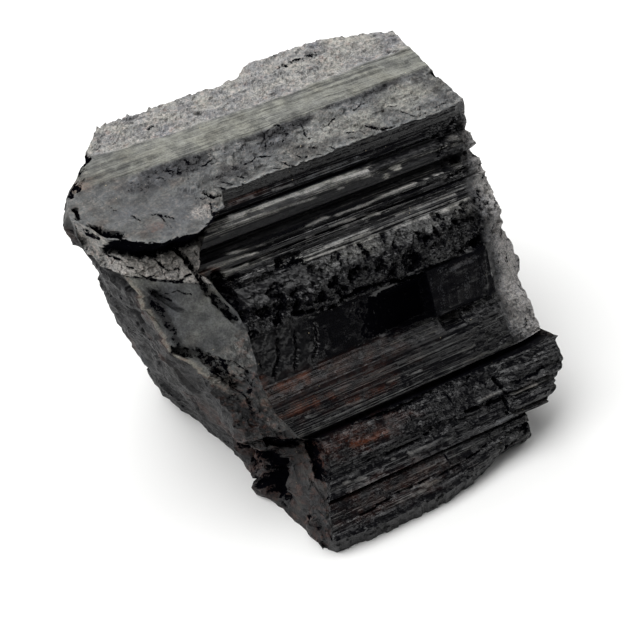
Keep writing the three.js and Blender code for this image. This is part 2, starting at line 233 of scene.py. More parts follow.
def groove(u, v, line, width, depth, seed):
    # a crack along a chain of points: full depth on the line, nothing past width, its sides jagged
    d = away(u, v, line) + 0.45 * width * cloud(u / 0.7, v / 0.7, 40 + seed, 2)
    return -depth * (1 - ramp(0.3 * width, width, d))


def hairlines(u, v, name, cracks, count):
    # 1 on every line of a list and on the first few cracks of another, falling to 0 at the
    # reach; the lines wander a little
    reach = 0.8
    shiftU, shiftV = [0.22 * cloud(u / 1.1, v / 1.1, seed, 2) for seed in (37, 38)]
    nearest = even(u, v, 9.0)
    for line in relief[name] + [crack[0] for crack in relief[cracks][1][:count]]:
        nearest = np.minimum(nearest, away(u + shiftU, v + shiftV, line))
    return np.clip(1 - nearest / reach, 0, 1)


def hollows(u, v, name):
    # all grooves of one list, added up
    seed, grooves = relief[name]
    total = even(u, v)
    for k, (line, width, depth) in enumerate(grooves):
        total += groove(u, v, line, width, depth, seed + k)
    return total


relief = {
    # slats of the front: stretch down the slope, stretch along x, height of the fine and of
    # the broad ones
    "slats": [
        ((-1.1, -0.7, 2.2, 2.5), whole, 0.05, 0.05), ((2.2, 2.5, 12.1, 12.6), whole, 0.12, 0.16),
        ((19.3, 19.8, 26.2, 26.6), whole, 0.005, 0.005), ((26.3, 26.6, 34.8, 35), whole, 0.08, 0.12),
        ((35.8, 36.2, 44.3, 44.6), whole, 0.05, 0.1),
        ((35.8, 36.2, 44.3, 44.6), (20, 23, 60, 61), 0.1, 0.15),
        ((44.6, 45, 50.4, 51), whole, 0.06, 0.1)],
    # crumbs of the front: the same stretches, height, size along x and down the slope
    "crumbs": [
        ((2.2, 2.5, 12.1, 12.6), whole, 0.02, 1.4, 0.6),
        ((0, 1, 8.5, 9.5), (22.5, 25.5, 60, 61), 0.5, 1.3, 0.9),
        ((12.1, 12.6, 14.8, 15.4), (-3, 0, 60, 61), 0.4, 0.8, 1.5),
        ((14.4, 15, 18.9, 19.5), whole, 0.5, 1.6, 1.4),
        ((9.8, 10.8, 18, 19.5), (-60, -59, -3, 0), 0.5, 2, 1.7),
        ((18, 19.5, 25, 26.2), (-60, -59, -9, -4), 0.1, 2.4, 1.8),
        ((26.3, 26.6, 34.8, 35), (17, 20, 60, 61), 0.22, 2.6, 1.3),
        ((35.8, 36.2, 44.3, 44.6), whole, 0.02, 1.6, 1.6),
        ((35.8, 36.2, 42, 43), (4, 8, 19, 22), 0.22, 2.2, 1.7),
        ((35.8, 36.2, 44.3, 44.6), (20, 23, 60, 61), 0.3, 4.4, 1.5),
        ((44.6, 45, 50.4, 51), whole, 0.02, 2, 1.2),
        ((44.6, 45, 50.6, 51.6), (15, 19, 60, 61), 0.35, 1.7, 1.5),
        ((50, 50.4, 51.6, 52), whole, 0.14, 1, 0.8)],
    # Hollows: the seed of their ragged sides, then chain of points, half width and depth.
    # First the cracks of the front, as chains of (x, t)
    "frontCracks": (0, [
        ([(-8.5, 20.6), (-9.1, 23.2), (-10.6, 25.4)], 0.32, 0.4),
        ([(-5.9, 20.4), (-6.1, 22.8), (-7.2, 25.6)], 0.36, 0.4),
        ([(-2.5, 20.8), (-3, 23.4), (-4.2, 25.4)], 0.3, 0.3),
        ([(-5.4, 18.1), (0.7, 19.2), (4.7, 18.2), (8.9, 18.8), (15.3, 20)], 0.4, 0.9),
        ([(-13.9, 9.6), (-13.4, 12), (-12.8, 15.6)], 1.1, 1.8),
        ([(-2, 35.9), (4.5, 36.6), (11, 36.3)], 0.4, 0.6),
        ([(20.8, 38), (21.6, 40.6), (20.9, 43.5)], 0.3, 0.8),
        ([(14.5, 40.6), (19, 41.2), (24.5, 40.8)], 0.26, 0.6),
        ([(-2, 41.6), (6, 41.9), (9, 41.2)], 0.2, 0.4),
        ([(-6.5, 48.2), (3, 47.3), (9, 47.9), (16, 47.2)], 0.18, 0.5)]),
    "facetHollows": (7, [
        ([(-21.6, 17.4), (-18.9, 19.2), (-17.2, 22.4), (-16.2, 24.6)], 1.1, 1.5),
        ([(-22.4, 8.6), (-20.5, 11.6), (-19.6, 12.4)], 0.45, 0.7)]),
    # the cavity of the facet, where shade is painted, and a black slot of the fibrous end, for the paint
    "cavity": [(-22.4, 17.2), (-19.4, 18.6), (-17.6, 21), (-16.4, 24)],
    "slot": [(-7.6, 36.5), (-8.6, 40.8)],
    # the cleft goes on between the shelf and the ends of the bars
    "cleftPath": [(-18.6, 2.4), (-17.6, 4.2), (-17, 6.2), (-16.5, 9.3), (-15.4, 12.3), (-13.6, 15.8)],
    # thin black lines of the front, as chains of (x, t)
    "frontLines": [
        [(-26, 2.1), (-24.8, 3.4), (-24.6, 4.4)], [(-22.4, 6.9), (-19.4, 8.3), (-17.6, 7.8)],
        [(-24.3, 4.5), (-23, 6.4), (-21.8, 6.2)], [(-20.8, 4.6), (-20.2, 6.2), (-18.6, 6.6)],
        [(-23.4, 8.8), (-21.8, 9.4), (-20.8, 10.6)], [(-22.6, 9.9), (-22, 11.6)],
        [(-21.2, 9.2), (-19.8, 9.4), (-18.4, 10.4)], [(-17.2, 20.4), (-15.6, 21.2), (-14.4, 23.4)],
        [(-16.6, 22.6), (-14.9, 24)], [(-19, 21), (-17.4, 23.2), (-15.4, 27)],
        [(-1.3, 21.8), (-1.3, 24.2)], [(-11.8, 21.6), (-12.1, 23.6)],
        [(5.9, 36.4), (6.4, 38.2), (6, 40.4)], [(12.6, 37.2), (13.4, 39.6)],
        [(-3.6, 41.4), (4.2, 41.8)], [(-2, 44.9), (-1.7, 46.9)], [(9, 45), (9.6, 47.2)],
        [(16.8, 44.8), (17.2, 47)]],
    # the same on the top, as chains of (x, y): cracks, then thin lines
    "topCracks": (20, [
        ([(15.1, 13.9), (16.9, 11.8), (19.1, 11.6)], 0.25, 0.4),
        ([(-11.2, 12.1), (-10.7, 10.6), (-9.5, 10.5)], 0.3, 0.6),
        ([(-28.3, 13.6), (-27.3, 12.6), (-26.2, 10.7), (-24.9, 9.9)], 0.7, 1.6),
        ([(-27.8, 17.9), (-28.4, 15.7)], 0.3, 1), ([(-27, 21.8), (-25.1, 24.4), (-23.1, 26.8)], 1.7, 1),
        ([(30.6, 19.7), (30.6, 18.6)], 0.35, 0.6)]),
    "topLines": [
        [(8.3, 12.2), (9, 11.1), (10.2, 10.7)], [(21.5, 14.2), (22.5, 12.1), (24.4, 11.7)],
        [(0.7, 12.5), (2.4, 10.9)], [(4.5, 12), (6.8, 11.1)], [(11.6, 12.3), (13.4, 11.3)],
        [(-1.4, 12), (0.2, 11.2)], [(6, 13.4), (7.9, 12.6)], [(12.2, 13.8), (14, 13), (14.4, 12)],
        [(26, 12.4), (28.2, 11.8)], [(2.6, 13.2), (4, 12.2)], [(-11.5, 9.7), (-12.5, 7.1)],
        [(-8.2, 13), (-7.3, 11.5)], [(-12.8, 11.4), (-11.6, 10.8)], [(-9.6, 12.6), (-8.4, 11.2)],
        [(-6.2, 12.9), (-4.9, 11.6)], [(-18.9, 11.5), (-18.6, 9.7), (-18.3, 8)],
        [(-22, 12.6), (-21.4, 10.9)], [(-19.6, 11.4), (-17.9, 10.3), (-17.2, 9.1)],
        [(-23.6, 16.2), (-23.2, 14.8)], [(-4, 14.6), (-1.5, 15.4), (0.5, 14.7)],
        [(10, 16.6), (12.4, 17.2)], [(0.5, 16), (2, 19.4), (4, 20), (7.5, 18.3), (6.9, 15.1)],
        [(3.4, 16.4), (5, 17.8)], [(16, 17.8), (18.6, 18.6)], [(-9, 17.4), (-6.4, 18.2)],
        [(20.4, 16), (22, 15.2)]],
    # on the fibrous end, as chains of (x, t)
    "endHollows": (80, [
        ([(-13.6, 34.2), (-11.2, 35.4), (-10, 35.6)], 0.8, 1.8), ([(-8.4, 36.5), (-9, 41)], 0.9, 1.5),
        ([(-12.6, 37.5), (-12.4, 39.2)], 0.45, 0.9), ([(-13.4, 42), (-13, 44.2)], 0.4, 0.8)]),
    # and on the left break, as chains of (y, z)
    "leftHollows": (60, [
        ([(-3.6, 5.6), (-8.3, 7.2), (-10.6, 7.5), (-10.3, 3.6), (-11.7, 2.6)], 1.3, 1.9),
        ([(-15.9, 14.7), (-14.9, 13.2)], 1, 2.2), ([(-12.6, 15.5), (-12, 11.8)], 0.6, 1),
        ([(-6.4, 0), (-7, 1.6), (-9.2, 2.4)], 0.7, 1.4), ([(-5.2, 3.4), (-6.6, 4.2)], 0.7, 1.2),
        ([(-13.4, 1.2), (-14.2, 4)], 0.6, 1.1), ([(-17.4, 6), (-16.8, 9.4)], 0.5, 0.8),
        ([(-19, 2.2), (-18.4, 4.6)], 0.5, 0.8)]),
}

slopeLength = np.hypot(stone["slopeTopY"] - stone["slopeFootY"], stone["top"])
downY = (stone["slopeFootY"] - stone["slopeTopY"]) / slopeLength
downZ = -stone["top"] / slopeLength


def onSlope(t, h):
    # y and z of a place t down the slope and h proud of its mean plane
    return stone["slopeTopY"] + t * downY + h * downZ, stone["top"] + t * downZ - h * downY


def fromSlope(y, z):
    # the same the other way round: t and h of a place
    dy, dz = y - stone["slopeTopY"], z - stone["top"]
    return dy * downY + dz * downZ, dy * downZ - dz * downY


def uneven(a, b):
    # two products of waves, 11 and 5 mm long, within 1 of 0
    broad = np.sin(0.55 * a + 0.31 * b + 1.1) * np.cos(0.47 * b - 0.2 * a)
    fine = np.sin(1.3 * a - 0.9 * b + 0.5) * np.sin(1.1 * b + 0.7 * a + 2)
    return 0.6 * broad + 0.4 * fine


def edgeY(name, x):
    # y of one of the edges, its line broken into small chips
    y = along(stone[name], x)
    for rise, size, seed in stone["chips"][name]:
        y = y + rise * lumps(x / size, x * 0, seed)
    return y


def frontRelief(x, t):
    # slats and crumbs summed over their zones, the black riser's waves and the lines down its
    # raised block, and the cracks
    fine, broad = slats(x, t + 0.012 * x, 18, 0.42, 11), slats(x, t, 34, 1.1, 17)
    h = 0.12 * hump((19.3, 19.8, 26.2, 26.6), t) * cloud(x / 3.5, t / 2.5, 33, 3)
    onBlock = hump((15.5, 15.9, 25.8, 26.2), x) * hump((19.4, 19.8, 26.2, 26.5), t)
    h = h + 0.03 * onBlock * slats(t, x + 0.15 * t, 20, 0.8, 31)
    for place, reach, fineHeight, broadHeight in relief["slats"]:
        h = h + hump(place, t) * hump(reach, x) * (fineHeight * fine + broadHeight * broad)
    for place, reach, height, sizeX, sizeT in relief["crumbs"]:
        level, _, number = blocks((x + 0.3 * t) / sizeX, t / sizeT, 23)
        level = level - 0.8 * (number < 0.15) + 0.4 * lumps(x / (0.45 * sizeX), t / (0.45 * sizeT), 29)
        h = h + hump(place, t) * hump(reach, x) * height * level
    return h + hollows(x, t, "frontCracks")


def leftPlaces(x, t):
    # left of the bars: t of the top's edge, t of the shelf's front, and 1 where the facet is rough
    edgeT, _ = fromSlope(edgeY("topFrontEdge", x), stone["top"])
    shelfFront = np.maximum(edgeT + stone["shelfReach"], along(stone["shelfFrontEdge"], x))
    rough = ramp(18.5, 20.5, t + 0.55 * (x + 17) + 0.8 * cloud(x / 1.5, t / 1.5, 50, 2))
    return edgeT, shelfFront, rough


def leftRelief(x, t):
    # the shelf crackled into small blocks, then the smooth facet with its streaks and cavity
    edgeT, shelfFront, rough = leftPlaces(x, t)
    onShelf = ramp(edgeT + 2.0, edgeT + 2.6, t) * (1 - ramp(shelfFront, shelfFront + 0.6, t))
    level, border, _ = blocks(x / 1.9, t / 1.3, 41)
    h = onShelf * (0.32 * level - 0.3 * (border < 0.08) + 0.14 * lumps(x / 0.6, t / 0.6, 43))
    inCleft = ramp(edgeT, edgeT + 0.4, t) * (1 - ramp(edgeT + 2.0, edgeT + 2.5, t))
    streaks = hump((-26, -24.5, -22, -20), x) * hump((7, 8.5, 13, 15), t)
    onFacet = 0.14 * cloud(x / 5, t / 5, 47, 2)
    onFacet = onFacet + streaks * (-0.25 + 0.16 * slats(t + x, x - 0.5 * t, 3, 0.8, 49))
    onFacet = onFacet + rough * (0.4 * lumps(x / 1.5, t / 1.3, 51) + 0.14 * lumps(x / 0.6, t / 0.6, 52))
    onFacet = onFacet + hollows(x, t, "facetHollows")
    h = h + 0.5 * inCleft * lumps(x / 1.1, t / 0.8, 45) + ramp(shelfFront, shelfFront + 1, t) * onFacet
    return h + groove(x, t, relief["cleftPath"], 0.7, 1.2, 9)


def frontPoint(x, nominal):
    # a place of the front at x, on the row that lies nominal mm down the slope
    s = stone
    first, last = s["ledges"][0][0], s["ledges"][-1][0]
    edgeT, edgeH = fromSlope(edgeY("topFrontEdge", x), s["top"])
    footT, footH = fromSlope(edgeY("footFrontEdge", x), 0)
    gathered = edgeT + s["gatherWidth"] * (nominal - first) / (edgeT + s["gatherWidth"] - first)
    t = np.where(nominal < edgeT + s["gatherWidth"], gathered, nominal)
    toFoot = np.clip((nominal - s["slopeStraightTo"]) / (last - s["slopeStraightTo"]), 0, 1)
    t = np.where(toFoot > 0, s["slopeStraightTo"] + toFoot * (footT - s["slopeStraightTo"]), t)
    start, end = along(s["barsLeft"], nominal), along(s["barsRight"], nominal)
    h = along(s["ledges"], nominal)
    for reach, place, rise in s["frontForms"]:
        h = h + rise * hump(reach, x) * hump(place, nominal)
    h = h + 0.5 * uneven(1.3 * x, 1.6 * nominal) * hump((12.4, 13, 18.6, 19.2), nominal)
    h = h + 0.25 * uneven(x, 2 * nominal) * hump((36, 38, 49, 50), nominal)
    h = h + frontRelief(x, nominal) + toFoot ** 2 * (footH - s["ledges"][-1][1])
    reach, place, rise = s["facetRise"]
    facet = s["facetFall"] * (x - s["facetX"]) + rise * hump(reach, x) * hump(place, t)
    _, shelfFront, _ = leftPlaces(x, t)
    shelfBack = edgeT + s["cleftWidth"]
    shelf = facet - s["shelfFall"] * (shelfFront - shelfBack)
    cleft = s["cleftDepth"] * ramp(-27.0, -25.0, x)
    # left of the bars: straight lines through the cleft, the shelf and the facet
    places = [
        (edgeT, edgeH), (edgeT + 0.5 * s["cleftWidth"], shelf - 0.5 * cleft),
        (edgeT + 0.8 * s["cleftWidth"], shelf - cleft), (shelfBack, shelf), (shelfFront, facet),
        (shelfFront + 1.2, facet - 0.2), (25 + 0 * x, facet), (28 + 0 * x, facet - 0.5)]
    left = edgeH + 0 * t
    for (ta, ha), (tb, hb) in zip(places[:-1], places[1:]):
        left = left + (hb - ha) * np.clip((t - ta) / (tb - ta), 0, 1)
    left = left + leftRelief(x, t)
    # below the facet the bars break off in an end whose fibres run down the slope
    fibrous = along(s["fibrousEnd"], nominal) + toFoot ** 2 * (footH - s["ledges"][-1][1])
    fibrous = fibrous + 0.4 * slats(nominal, x + 0.4 * cloud(x / 3, nominal / 2, 122, 4), 5, 1.1, 57)
    fibrous = fibrous + 0.3 * lumps(x / 0.9, nominal / 2.2, 58) + 0.4 * cloud(x / 3, nominal / 3, 59, 3)
    fibrous = fibrous + s["stubFall"] * (x - start) + hollows(x, nominal, "endHollows")
    left = np.where(nominal < s["facetEnd"], left, fibrous)
    h = np.where(x < start, left, h)
    bevel = np.where((x > end) & (nominal < s["bevelEnd"]), s["bevelFall"] * (x - end), 0)
    bevel = bevel + (bevel > 0) * (0.1 * lumps(x / 1.2, t / 1.2, 53) - 0.25 * cloud(x / 3, t / 3, 55, 3))
    # the first and the last row keep to their edges
    t = np.where(nominal <= first, edgeT, np.where(nominal >= last, footT, t))
    h = np.where(nominal <= first, edgeH, np.where(nominal >= last, footH, h - bevel))
    return *onSlope(t, h), t


def fromSeam(x, y):
    # y as read across the crest band, whose borders bow and wander together
    return y - 0.5 * cloud(x / 3.5, x * 0, 79, 3) - along(stone["crestBow"], x)


def topPoint(x, nominal):
    # the flat break: rows between its two edges, straight along the crest band
    s = stone
    low, high = s["topStraight"]
    front, back = edgeY("topFrontEdge", x), edgeY("topBackEdge", x)
    near = front + (nominal - s["topFrom"]) / (low - s["topFrom"]) * (low - front)
    far = high + (nominal - high) / (s["topTo"] - high) * (back - high)
    y = np.where(nominal < low, near, np.where(nominal > high, far, nominal))
    seam = fromSeam(x, y)
    crest = hump((20.2, 20.8, 25.6, 26.4), seam)
    speckled = ramp(25.8, 26.8, seam)
    mottled = (1 - ramp(19.6, 20.4, seam)) * ramp(-16, -11, x)
    rise = along(s["topRelief"], seam) + 0.35 * ramp(4, 9, x) * ramp(27, 31, y) + 0.15 * uneven(x, y)
    rise = rise + crest * (0.06 * slats(x, y + 0.01 * x, 14, 0.36, 81) + 0.08 * slats(x, y, 22, 1.2, 82))
    rise = rise + speckled * (0.15 * lumps(x / 1.3, y / 0.9, 83) + 0.07 * lumps(x / 0.5, y / 0.45, 85))
    coarse = 0.2 * lumps(x / 2.4, y / 1.5, 87) + 0.25 * cloud(x / 5, y / 4, 89, 3)
    rise = rise + mottled * (coarse + 0.09 * lumps(x / 0.8, y / 0.6, 91))
    rise = rise + (1 - mottled) * (1 - ramp(20, 20.4, y)) * 0.12 * cloud(x / 6, y / 6, 93, 3)
    rise = rise + hollows(x, y, "topCracks")
    return y, s["top"] + (nominal > s["topFrom"]) * rise


def backPoint(x, height):
    # the back hangs below the top's back edge, which it follows less strictly lower down
    s = stone
    below = s["top"] - height
    wander = 3 * turned(x, height, 9, 99)
    y, z = topPoint(x + 1.3 * wander * ramp(0, 8, below), s["topTo"] + 0 * height)
    for reach, place, rise in s["backForms"]:
        y = y + rise * hump(reach, x + 0.8 * wander) * hump(place, height + 0.3 * wander)
    wavy = height + 0.35 * wander
    rough = 0.13 * slats(x, wavy, 16, 0.8, 95) + 0.28 * slats(x, wavy, 24, 3.1, 96)
    rough = rough + 0.4 * cloud((x + 0.7 * height) / 6, (height - 0.6 * x) / 5, 97, 4)
    rough = rough + 0.2 * lumps((x + wander) / 12, (height + wander) / 4.5, 98)
    y = y + along(s["backRelief"], wavy) + rough * ramp(0, 1.5, below) * ramp(0, 0.5, height)
    return y, height * z / s["top"]


def footPoint(x, part):
    # straight from the foot's front edge to the back
    front = edgeY("footFrontEdge", x)
    back, _ = backPoint(x, 0 * x)
    return front + part * (back - front), 0 * x


def fibrousFlank(y, z):
    # 1 on the low front part of the left break, whose fibres run upwards
    return (1 - ramp(-10, -7, y)) * (1 - ramp(13, 17, z))


def knobbly(y, z):
    # 1 round the knobs under the notch of the left break
    return hump((-13, -11, -5, -3), y) * (1 - ramp(6, 9, z))


def leftBreak(y, z):
    # the flank leans out as it rises; a bevel cuts its back corner
    s = stone
    flank = along(s["leftFoot"], y) - along(s["leftLean"], y) * z
    bevel = along(s["backBevel"], y) + s["backBevelLean"] * (s["top"] - z)
    reach, place, rise = s["leftNotch"]
    flank = flank + rise * hump(reach, y) * hump(place, z)
    inner = hump(s["breakInner"], z)
    x = np.maximum(flank, bevel) - along(s["leftBelly"], z) - 0.35 * inner * uneven(y, z)
    fibres = fibrousFlank(y, z)
    wander = 1.8 * turned(y, z, 6, 100)
    coarse = 0.5 * turned(y, z, 7, 101, 4) + 0.26 * lumps((y + wander) / 2.6, z / 2.2, 103)
    coarse = coarse + 0.6 * lumps((y + 0.3 * z + wander) / 8, (z + wander) / 6, 102)
    x = x - inner * (1 - fibres) * (coarse + 0.1 * lumps(y / 0.9, z / 0.9, 104))
    x = x - 0.8 * knobbly(y, z) * cloud(y / 1.5, z / 1.5, 106, 3)
    x = x - 0.3 * (1 - ramp(0, 4, z)) * cloud(y / 0.9, z / 0.9, 108, 2)
    x = x - 1.3 * hump((17, 18.5, 24, 25.5), y) * hump((30, 34, 37.6, 38.6), z)
    strands = 0.5 * slats(z, y, 9, 1.1, 105) + 0.35 * lumps(y / 1.3, z / 2.6, 107)
    x = x - fibres * ramp(0, 1, z) * strands
    return x - hollows(y, z, "leftHollows")


def rightBreak(y, z):
    # a rough break with a toe that stops short of the foot
    s = stone
    reach, place, rise = s["rightToe"]
    inner = hump(s["breakInner"], z)
    front, back = along(s["rightFront"], z), along(s["rightBack"], z)
    x = front + (back - front) * ramp(0, 12, y) + rise * hump(reach, y) * hump(place, z)
    wander = 2 * turned(y, z, 6, 109)
    coarse = 0.45 * turned(y, z, 6, 110, 4) + 0.2 * lumps((y + wander) / 2.4, z / 2.4, 111)
    coarse = coarse + 0.7 * lumps((y + 0.4 * z + wander) / 9, (z + wander) / 7, 112)
    return x + inner * (0.4 * uneven(1.2 * z, y) + coarse + 0.06 * lumps(y / 0.9, z / 0.9, 113))


def meet(row, breakAt, start):
    # where each row runs into a break, by steps of half the distance left
    x, steps = start, 40
    for _ in range(steps):
        y, z = row(x)[:2]
        x = x + 0.5 * (breakAt(y, z) - x)
    return x


def stations(row, start, end, count):
    # x of every column of every row: even steps between the row's own knots
    s = stone
    left = meet(row, leftBreak, np.full(count, -20.0))
    right = meet(row, rightBreak, np.full(count, 31.0))
    gap = s["straddle"]
    start = np.maximum(start, left + 2 * gap + 0.2)
    end = np.minimum(end, right - 2 * gap - 0.2)
    fixed = [np.full(count, place) for place in s["alongFixed"]]
    knots = np.stack([left, start - gap, start + gap, *fixed, end - gap, end + gap, right], 1)
    steps = s["alongKnots"]
    cells = np.arange(steps[-1] + 1)
    weights = np.stack([np.interp(cells, steps, unit) for unit in np.eye(len(steps))], 1)
    return knots @ weights.T


def shares(length, marks, density, count):
    # count cells from 0 to length, closer where density is high, with a line on every mark
    samples = 2000
    fine = np.linspace(0, length, samples)
    sums = np.concatenate([[0], np.cumsum(density(0.5 * (fine[1:] + fine[:-1])))])
    places = np.interp(np.linspace(0, sums[-1], count + 1), sums, fine)
    places[np.abs(places[:, None] - marks).argmin(0)] = marks
    return places


def slopeDensity(t):
    # more rows on the thin bars and round the two deep cracks
    return 1 + 0.4 * (t < 16.5) + 0.5 * (np.abs(t - 36.2) < 1) + 0.4 * (np.abs(t - 46) < 1)


def makeGrids():
    # the points of the front, the top, the back and both breaks, with shared edges
    s = stone
    rows, across = s["slopeCells"], s["acrossCells"]
    first, last = s["ledges"][0][0], s["ledges"][-1][0]
    marks = np.array([t for t, _ in s["ledges"]]) - first
    slope = shares(last - first, marks, slopeDensity, rows) + first
    acrossTop = shares(s["topTo"] - s["topFrom"], np.array(s["topMarks"]), np.ones_like, across)
    acrossTop = acrossTop + s["topFrom"]
    ends = along(s["barsLeft"], slope), along(s["barsRight"], slope)
    xFront = stations(lambda x: frontPoint(x, slope), *ends, rows + 1)
    xTop = stations(lambda x: topPoint(x, acrossTop), *s["flatEnds"], across + 1)
    xTop[0] = xFront[0]
    y, z, t = frontPoint(xFront, slope[:, None])
    front = np.stack([xFront, y, z], -1)
    topGrid = np.stack([xTop, *topPoint(xTop, acrossTop[:, None])], -1)
    # the back has every second row of the front and every third column
    share = (slope[::2] - first) / (last - first)
    height = s["top"] * (1 - share)
    xBack = stations(lambda x: backPoint(x, height), *s["flatEnds"], len(height))[:, ::3]
    xBack[0] = xTop[-1, ::3]
    back = np.stack([xBack, *backPoint(xBack, height[:, None])], -1)
    back[0] = topGrid[-1, ::3]
    part = np.linspace(0, 1, across + 1)
    breaks = []
    for column, breakAt, begin in ((0, leftBreak, -14.0), (-1, rightBreak, 28.0)):
        x = meet(lambda x: footPoint(x, part), breakAt, np.full(across + 1, begin))
        foot = np.stack([x, *footPoint(x, part)], -1)
        foot[0], foot[-1] = front[-1, column], back[-1, column]
        edges = front[::2, column], back[:, column], topGrid[:, column], foot
        breaks.append(fillBreak(*edges, share, breakAt))
    return front, topGrid, back, breaks, slope, t


def fillBreak(front, back, crest, foot, share, breakAt):
    # y and z spanned between the four edges, as a Coons patch: the two rulings less the
    # bilinear of the corners; x is then the break's own. The front edge is smoothed inwards.
    q, p = share[:, None, None], np.linspace(0, 1, len(crest))[None, :, None]
    beside, fadeCells = 4, 5
    window = np.ones(2 * beside + 1) / (2 * beside + 1)
    padded = np.pad(front[:, 1:], ((beside, beside), (0, 0)), "edge")
    smooth = np.stack([np.convolve(padded[:, k], window, "valid") for k in (0, 1)], 1)
    smooth[0], smooth[-1] = front[0, 1:], front[-1, 1:]
    inwards = np.minimum(1, np.arange(len(crest)) / fadeCells)[None, :, None]
    frontCurve = front[:, None, 1:] * (1 - inwards) + smooth[:, None] * inwards
    yz = (1 - p) * frontCurve + p * back[:, None, 1:]
    yz = yz + (1 - q) * crest[None, :, 1:] + q * foot[None, :, 1:]
    yz = yz - (1 - q) * ((1 - p) * crest[0, 1:] + p * crest[-1, 1:])
    yz = yz - q * ((1 - p) * foot[0, 1:] + p * foot[-1, 1:])
    patch = np.concatenate([breakAt(yz[..., 0], yz[..., 1])[..., None], yz], -1)
    patch[:, 0], patch[:, -1], patch[0], patch[-1] = front, back, crest, foot
    return patch


